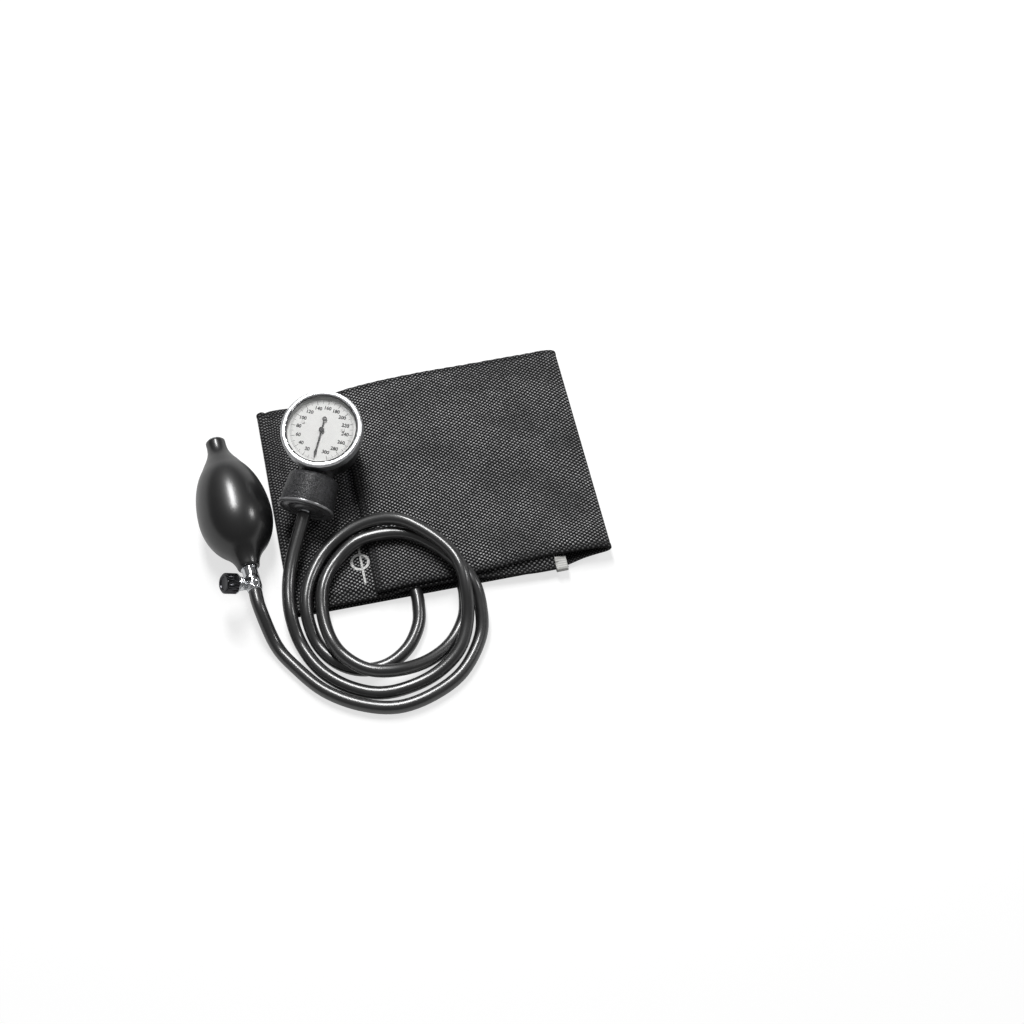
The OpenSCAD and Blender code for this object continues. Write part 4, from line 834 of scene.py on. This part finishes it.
side, across = half_w - hem, 70     # rows along both long edges, and half the length of a row across the strip
seams = (seam((4.5, -side), (strip_l - 4.5, -side)) + seam((4.5, side), (strip_l - 4.5, side))
         + seam((hem, -66), (hem, 66)) + seam((strip_l - hem, -across), (strip_l - hem, across))
         + seam((middle_end - pocket_x0, -across), (middle_end - pocket_x0, across))
         + seam((flap_s(88), cross_y), (flap_s(52), cross_y)))
points, faces = [], []
for (s0, y0), (s1, y1) in seams:
    middle = ((s0 + s1) / 2, (y0 + y1) / 2)
    under_tag = y0 < 0 and tag_x0 - 1 < middle_end - middle[0] < tag_x1 + 1
    here = on_cloth(*middle, 1.25 if under_tag else 0.1)
    along = (on_cloth(s1, y1) - on_cloth(s0, y0)).normalized()
    out = (on_cloth(*middle, 1.0) - on_cloth(*middle)).normalized()
    across = out.cross(along).normalized()
    turn = Matrix((along, across, along.cross(across))).transposed()
    faces += [tuple(len(points) + i for i in face) for face in stitch_faces]
    points += [here * MM + turn @ p for p in stitch_points]
data = bpy.data.meshes.new("seam_stitches")
data.from_pydata(points, [], faces)
data.shade_smooth()
stitches = add_object("seam_stitches", data)
bonded_thread, tree, shader = new_finish("bonded_black_thread", "#3a3a3c", 0.45)
emboss(tree, shader, speckle(tree, 3000.0), 0.5)
paint(stitches, bonded_thread)
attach(stitches, "instrument")
print(len(seams), "stitches")

# %% [markdown]
# ## Artery mark
# A white ring with a line through it is printed on the middle panel, and shows where the artery has to lie. A
# print is a thin film of ink, so a flat ring is drawn from a circle by extrusion, the line is a narrow grid, and
# both are laid on the cloth.

# %% Artery mark
print_ink, tree, shader = new_finish("white_print_ink", "#dededc", 0.7)
tint(tree, shader, scaled(tree, speckle(tree, 1400.0, Detail=2.0), 0.45, 0.62), "#e4e4e2", "#9a9a9a")

mark_x, mark_y = -50, -50.8         # the ring's middle
ring_r, ring_hole = 5.6, 0.73       # its radius, and its hole's share of it
bar_x, bar_y, bar_w, bar_l = 0.7, -1.2, 1.25, 27        # the line, from the ring's middle
bpy.ops.mesh.primitive_circle_add(vertices=72, radius=ring_r, fill_type="NOTHING")
mark = open_new("artery_mark")
bpy.ops.object.mode_set(mode="EDIT")
bpy.ops.mesh.select_all(action="SELECT")
bpy.ops.mesh.extrude_edges_move()
bpy.ops.transform.resize(value=(ring_hole, ring_hole, ring_hole))
bpy.ops.mesh.primitive_grid_add(x_subdivisions=2, y_subdivisions=40, size=1)
bpy.ops.transform.resize(value=(bar_w, bar_l, 1))
bpy.ops.transform.translate(value=(bar_x, bar_y, 0.0))
bpy.ops.object.mode_set(mode="OBJECT")
for vertex in mark.data.vertices:
    x, y = mark_x + vertex.co.x, mark_y + vertex.co.y
    on_bar = abs(vertex.co.x - bar_x) < 0.7
    vertex.co = on_cloth(middle_end - x, y, 0.14 + 0.04 * on_bar) * MM
film = mark.modifiers.new("film", "SOLIDIFY")
film.thickness = 0.05 * MM
film.offset = 1
apply_all(mark)
paint(mark, print_ink)
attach(mark, "instrument")
print("artery mark:", len(mark.data.polygons), "faces")

# %% [markdown]
# ## Squeeze bulb
# The bulb is dip-moulded black rubber, as wide as a hand can close on, with a neck at each end. Its outline is
# drawn point by point, with its inner wall, and spun round its axis, and both necks blend softly into it. The
# rubber is satin under a thin polished skin, and a fine bloom breaks the shine.

# %% Rubber of the bulb
bulb_rubber, tree, shader = new_finish("moulded_bulb_rubber", "#0f0f10", 0.45, IOR=1.5, Specular_IOR_Level=0.4,
                                       Coat_Weight=0.55, Coat_Roughness=0.24, Coat_IOR=1.9)
roughen(tree, shader, speckle(tree, 35.0, Detail=5.0), 0.4, 0.5, 0.3, 0.7)
emboss(tree, shader, speckle(tree, 1800.0, Detail=2.0), 0.08)

# %% Bulb
belly, wall, bore = 21.3, 2.2, 3.55
tail_l, neck_l = 39.4, 28.3         # the belly's length to its tail and to its neck


def half_oval(radius, length, first, last, count):
    return [(radius * math.sin(t), -length * math.cos(t))
            for t in (math.radians(first + (last - first) * i / count) for i in range(count + 1))]


bulb_skin = ([(5.0, -51.5), (5.55, -51.5), (5.72, -51.25), (5.74, -49.5), (5.75, -48.0), (5.9, -46.0), (6.25, -44.0),
              (6.9, -42.0), (7.8, -40.0), (9.0, -37.8), (10.4, -35.6)] + half_oval(belly, tail_l, 36, 90, 14)
             + half_oval(belly, neck_l, 90, 147, 12)[1:]
             + [(10.2, 25.3), (9.0, 26.9), (8.0, 28.6), (7.2, 30.4), (6.7, 32.0), (6.45, 33.4), (6.2, 34.1),
                (5.7, 34.3)])
bulb_bore = ([(bore, 34.3), (bore, 25.6)] + half_oval(belly - wall, neck_l - wall, 168, 90, 14)[1:]
             + half_oval(belly - wall, tail_l - wall, 90, 12, 14)[1:] + [(bore, -37.6), (bore, -51.5)])
bulb = turned("squeeze_bulb", bulb_skin + bulb_bore, 96, bulb_matrix, smooth_angle=60)
paint(bulb, bulb_rubber)
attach(bulb, "instrument")
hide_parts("bulb")
print("bulb:", len(bulb.data.polygons), "faces")

# %% [markdown]
# ## Dial
# The dial is a white plate with printed black marks: a short line for every 2 units of pressure, a longer one for
# every 10, and a number at every 20 up to 300. A mark is one thin bar, copied and turned round the pointer's
# axis. The numbers are text that is made a mesh. The pointer turns 22.4 degrees for 20 units, clockwise.

# %% Marks of the dial
def join_into(name, pieces):
    bpy.ops.object.select_all(action="DESELECT")
    for piece in pieces:
        piece.select_set(True)
    bpy.context.view_layer.objects.active = pieces[0]
    bpy.ops.object.join()
    pieces[0].name = pieces[0].data.name = name
    return pieces[0]


degrees_per_unit = 22.4 / 20
scale_r, number_r = 18.6, 13.8
print_z, print_t = 0.025, 0.03      # height of the print's middle over the dial, and the ink's thickness
bpy.ops.mesh.primitive_cube_add(size=1)
bar = open_new("bar")
bpy.ops.object.mode_set(mode="EDIT")
bpy.ops.mesh.select_all(action="SELECT")
bpy.ops.transform.resize(value=(1, 1, print_t))
bpy.ops.transform.translate(value=(0, -0.5, print_z))
bpy.ops.object.mode_set(mode="OBJECT")
marks = []
for value in range(0, 301, 2):
    long, wide = (2.7, 0.24) if value % 20 == 0 else (2.1, 0.18) if value % 10 == 0 else (1.2, 0.1)
    copy = add_object("mark", bar.data.copy())
    copy.data.transform(Matrix.Rotation(math.radians(-value * degrees_per_unit), 4, "Z")
                        @ Matrix.Translation((0, -(scale_r - long), 0)) @ Matrix.Diagonal((wide, long, 1, 1)))
    marks.append(copy)
bpy.data.objects.remove(bar)
print(len(marks), "marks")

# %% Numbers of the dial
numbers = []
for value in range(20, 301, 20):
    bpy.ops.object.text_add()
    label = bpy.context.active_object
    label.data.body = str(value)
    label.data.size = 2.9
    label.data.extrude = 0.015
    label.data.offset = 0.1
    label.data.resolution_u = 3
    label.data.align_x, label.data.align_y = "CENTER", "CENTER"
    bpy.ops.object.convert(target="MESH")
    number = bpy.context.active_object
    turn = math.radians(value * degrees_per_unit)
    number.data.transform(Matrix.Translation((-number_r * math.sin(turn), -number_r * math.cos(turn), print_z)))
    numbers.append(number)
dial_marks = join_into("dial_scale", marks + numbers)
dial_marks.data.transform(Matrix.Scale(MM, 4))
dial_marks.data.transform(metres(gauge_matrix))
dial_ink, tree, shader = new_finish("black_dial_ink", "#1c1c1d", 0.6)
tint(tree, shader, speckle(tree, 900.0), "#161617", "#2a2a2b")
paint(dial_marks, dial_ink)
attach(dial_marks, "instrument")
print("dial scale:", len(dial_marks.data.polygons), "faces")

# %% [markdown]
# ## Finishes of the CAD parts
# The turned, cast and stamped parts keep the CAD model's own meshes. Each gets the finish of the real part: the
# case is cast metal under black crinkle enamel, the bezel and the valve are chromed brass, the movement is bare
# brass and steel, and the lens is clear acrylic.

# %% Crinkle enamel
crinkle_enamel, tree, shader = new_finish("black_crinkle_enamel", "#1d1d1f", 0.36, IOR=1.5)
ridge = scaled(tree, speckle(tree, 800.0, Detail=3.0, Distortion=1.5), 0.4, 0.62, interpolation_type="SMOOTHSTEP")
tint(tree, shader, ridge, "#131314", "#3c3c3f")
emboss(tree, shader, ridge, 0.7, 0.2)


# %% Metals
def metal(name, base, roughness, grain=400.0, spread=0.08, **sockets):
    """A metal whose roughness varies a little, as handling and plating leave it."""
    material, tree, shader = new_finish(name, base, roughness, 1.0, **sockets)
    haze = speckle(tree, grain, Detail=4.0)
    roughen(tree, shader, haze, roughness - spread / 2, roughness + spread / 2, 0.3, 0.7)
    emboss(tree, shader, haze, 0.03)
    return material


bright_chrome = metal("chromed_brass", "#dcdee1", 0.1)
satin_chrome = metal("satin_chromed_bezel", "#e8e9eb", 0.32)
brass = metal("turned_brass", "#c2a25a", 0.28, 250.0, 0.12)
steel = metal("drawn_steel", "#a4a7ac", 0.3, 600.0, 0.12)

# %% Lens, dial, pointer and small parts
lens_clear, tree, shader = new_finish("clear_acrylic", "#ffffff", 0.02, IOR=1.49, Transmission_Weight=1.0)
clear = add_node(tree, "BsdfTransparent")
paths = add_node(tree, "LightPath").node.outputs
seen = add_node(tree, "Math", {0: paths["Is Camera Ray"], 1: paths["Is Transmission Ray"]}, operation="MAXIMUM")
both = add_node(tree, "MixShader", {0: seen, 1: clear, 2: shader.outputs[0]})
tree.links.new(both, tree.nodes["Material Output"].inputs["Surface"])
roughen(tree, shader, speckle(tree, 120.0), 0.0, 0.05)


def plain_finish(name, dark, light, roughness, grain, **sockets):
    """A finish whose colour wanders between two tones, as paint and plastic do up close."""
    material, tree, shader = new_finish(name, dark, roughness, **sockets)
    speck = speckle(tree, grain, Detail=3.0)
    tint(tree, shader, speck, dark, light)
    emboss(tree, shader, speck, 0.05)
    return material


dial_paint = plain_finish("white_dial_enamel", "#e4e4e2", "#eeeeec", 0.45, 500.0)
pointer_paint = plain_finish("black_pointer_enamel", "#101011", "#1c1c1d", 0.4, 900.0)
spacer_plastic = plain_finish("white_spacer_plastic", "#c6c8ca", "#d2d3d4", 0.5, 300.0)
knob_metal = metal("black_chromed_knob", "#404043", 0.2, 700.0)
disc_rubber = plain_finish("red_valve_rubber", "#7a3325", "#8f4030", 0.6, 600.0)

# %% [markdown]
# ## Cover, shade ring and dressed parts
# The drum's cover is turned from bar with a thin flange and a shallow ring in its face, and anodised grey. The drum
# itself is cast with the case, and its rounded shoulder begins just outside the bezel, so it is spun as a shell
# round the CAD part's slimmer neck. A thin black ring on the lens's rim is a painted shadow: it stands for the dark
# line of shade between the bezel and the dial. The turned and cast CAD parts in view are copied, their doubled
# points merged, and shaded smoothly up to their edges, and the knob's knurls lose their sharpness by a fine bevel.

# %% Cover, shade ring and dressed parts
cover_metal = plain_finish("grey_anodised_cover", "#8a8a8c", "#9a9a9c", 0.27, 700.0, Metallic=0.45)
drum_matrix = gauge_matrix @ Matrix.Translation((0, 0, -14)) @ Matrix.Rotation(math.radians(90), 4, "X")
cover_outline = [(2.43, 43.0), (16.1, 43.0), (16.42, 43.12), (16.5, 43.45), (16.5, 44.1), (16.38, 44.45),
                 (16.0, 44.6), (15.2, 44.6), (14.8, 44.48), (14.5, 44.1), (14.1, 43.98), (11.2, 43.98), (10.95, 44.2),
                 (10.05, 44.2), (9.8, 43.98), (6.6, 43.98), (6.1, 44.3), (5.5, 44.6), (2.43, 44.6)]
cover = turned("flanged_drum_cover", cover_outline, 96, drum_matrix, smooth_angle=50)
paint(cover, cover_metal)
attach(cover, "instrument")
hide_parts("drum_cover")

# painted shadow: a thin black ring on the lens's rim stands for the shade that the bezel casts on the dial
shade_ring = turned("lens_shade_ring", [(20.1, 3.03), (20.68, 3.03), (20.68, 3.3), (20.4, 3.4), (20.15, 3.3)], 96,
                gauge_matrix, smooth_angle=50)
paint(shade_ring, bladder_rubber)
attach(shade_ring, "instrument")


def dressed(node, name, body, finish, reshape=None, edge=0.0):
    """A merged, smoothly shaded copy of a CAD part that stands for it; its edges are broken by a bevel when edge is
    given.
    """
    bpy.ops.object.select_all(action="DESELECT")
    piece = add_object(name, bpy.data.objects[node].data.copy())
    piece.select_set(True)
    bpy.context.view_layer.objects.active = piece
    bpy.ops.object.mode_set(mode="EDIT")
    bpy.ops.mesh.select_all(action="SELECT")
    bpy.ops.mesh.remove_doubles(threshold=2e-6)
    bpy.ops.object.mode_set(mode="OBJECT")
    if reshape:
        for vertex in piece.data.vertices:
            vertex.co = reshape(vertex.co / MM) * MM
    if edge:
        rim = piece.modifiers.new("broken_edge", "BEVEL")
        rim.width, rim.segments, rim.limit_method = edge * MM, 2, "ANGLE"
        rim.angle_limit = math.radians(40)
        apply_all(piece)
    bpy.ops.object.shade_smooth_by_angle(angle=math.radians(38))
    paint(piece, finish)
    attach(piece, body)
    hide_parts(node)
    print(name, len(piece.data.polygons), "faces")
    return piece


neck_z0, neck_z1, neck_r = 18.5, 24.2, 10.2      # the drum's neck from the case on, and its radius


def slim_neck(p):
    """Draws the drum's neck in, so that it passes under the bezel without a rim in front of it."""
    q = drum_matrix.inverted() @ p
    r = math.hypot(q.x, q.y)
    if neck_z0 < q.z < neck_z1 and r > neck_r:
        q.x, q.y = q.x * neck_r / r, q.y * neck_r / r
    return drum_matrix @ q


case = dressed("gauge_case", "crinkled_case", "instrument", crinkle_enamel, slim_neck)
drum_skin = [(15.05, 42.6), (15.7, 42.6), (15.7, 38.0), (15.3, 34.4), (14.95, 31.0), (14.7, 28.4), (14.45, 27.0),
             (13.9, 25.9), (13.0, 25.1), (11.8, 24.6), (10.6, 24.4), (9.6, 24.4)]
drum_back = [(9.6, 25.1), (11.4, 25.3), (12.6, 25.8), (13.3, 26.6), (13.7, 27.6), (14.05, 31.0), (14.4, 34.4)]
shell = turned("drum_shell", drum_skin + drum_back, 96, drum_matrix, smooth_angle=40)
paint(shell, crinkle_enamel)
join_into("crinkled_case", [case, shell])
dressed("bezel", "satin_bezel", "instrument", satin_chrome)
for node, name, body in (("gauge_nipple", "gauge_hose_nipple", "instrument"),
                         ("valve_body", "chromed_valve_body", "instrument"),
                         ("bonnet", "chromed_bonnet", "instrument"),
                         ("inlet_valve_body", "chromed_inlet_valve", "instrument"),
                         ("knob_collar", "chromed_knob_collar", "release_knob")):
    dressed(node, name, body, bright_chrome)
dressed("release_knob", "knurled_knob", "release_knob", knob_metal, edge=0.08)

# %% Finish of every part that keeps its mesh
slot_finish = {"black_enamel": crinkle_enamel, "chrome": bright_chrome, "lens_glass": lens_clear,
               "dial_white": dial_paint, "spacer_plastic": spacer_plastic, "pointer_black": pointer_paint,
               "brass": brass, "steel": steel, "knob_black": knob_metal, "disc_rubber": disc_rubber,
               "bladder_rubber": bladder_rubber}
own_finish = {"bezel": satin_chrome, "dial_screws": dial_paint}
node_slot = {node: slot for slot, names in {
    "black_enamel": "gauge_case drum_cover",
    "chrome": "bezel gauge_nipple inlet_valve_body valve_body bonnet knob_collar",
    "lens_glass": "lens", "spacer_plastic": "spacer_ring", "dial_white": "dial_plate", "pointer_black": "pointer",
    "brass": "dial_posts pinion_arbor front_plate back_plate plate_pillars sector_gear capsule capsule_nut inlet_cage"
             " outlet_seat",
    "steel": "dial_screws hairspring plate_screws sector_arbor push_pin back_clip clip_rivets release_screw",
    "knob_black": "release_knob", "disc_rubber": "inlet_disc outlet_disc", "bladder_rubber": "cover_gasket seat_pad",
}.items() for node in names.split()}
for node, slot in node_slot.items():
    paint(bpy.data.objects[node], own_finish.get(node, slot_finish[slot]))
print(len(node_slot), "CAD parts are finished")

# %% [markdown]
# ## Floor, backdrop and light
# The set lies on white studio paper. One long softbox hangs above and a little behind it, which draws the narrow
# bright line along each hose and down the bulb. A small one stands at the right, and the room, dim as a studio is
# when only the lamps burn, fills in faintly. The paper and the wall behind it are white to the camera, and in
# reflections they are as bright as lit white paper. The paper still takes the shadows. It glows more with the
# distance, where no lamp reaches it.

# %% Floor
bpy.ops.mesh.primitive_plane_add(size=8)
floor = open_new("studio_floor")
studio_paper, tree, shader = new_finish("matt_studio_paper", "#a8a8a8", 0.9, Specular_IOR_Level=0.0)
paths = add_node(tree, "LightPath").node.outputs
seen = add_node(tree, "Math", {0: paths["Is Camera Ray"], 1: paths["Is Transmission Ray"]}, operation="MAXIMUM")
seen = add_node(tree, "Math", {0: paths["Is Glossy Ray"], 1: 0.5, 2: seen}, operation="MULTIPLY_ADD")
far = add_node(tree, "VectorMath", {0: add_node(tree, "TexCoord", out="Object")}, 1, operation="LENGTH")
white = scaled(tree, far, 0.6, 2.4, 0.69, 0.96)
tree.links.new(product(tree, seen, white), shader.inputs["Emission Strength"])
shader.inputs["Emission Color"].default_value = (1, 1, 1, 1)
paint(floor, studio_paper)

# %% Light
world = bpy.data.worlds.new("studio")
bpy.context.scene.world = world
world.use_nodes = True
tree = world.node_tree
paths = add_node(tree, "LightPath").node.outputs
height = add_node(tree, "SeparateXYZ", {0: add_node(tree, "TexCoord", out="Generated")}, out="Z")
room = scaled(tree, height, 0.1, 1.0, 0.05, 0.24)
sky = tree.nodes["Background"]
sky.inputs["Color"].default_value = (1, 1, 1, 1)
wall = scaled(tree, height, 0.1, 0.3, 0.75, 0.0)
seen = add_node(tree, "Math", {0: paths["Is Glossy Ray"], 1: paths["Is Transmission Ray"]}, operation="MAXIMUM")
seen = add_node(tree, "Math", {0: seen, 1: wall, 2: paths["Is Camera Ray"]}, operation="MULTIPLY_ADD")
tree.links.new(add_node(tree, "Math", {0: seen, 1: room}, operation="MAXIMUM"), sky.inputs["Strength"])
bpy.context.scene.view_settings.view_transform = "Standard"


def soft_lamp(name, place, look, size, power):
    lamp = bpy.data.lights.new(name, "AREA")
    lamp.shape, lamp.size, lamp.size_y, lamp.energy = "RECTANGLE", size[0], size[1], power
    body = add_object(name, lamp)
    body.location = place
    body.rotation_mode = "QUATERNION"
    body.rotation_quaternion = (Vector(look) - Vector(place)).to_track_quat("-Z", "Y")


soft_lamp("long_softbox", (-0.05, 0.55, 1.2), (-0.05, -0.02, 0), (0.27, 0.8), 15)
soft_lamp("side_softbox", (1.1, 0.0, 0.95), (-0.03, -0.03, 0), (0.25, 0.25), 3)
print("lamps are set")
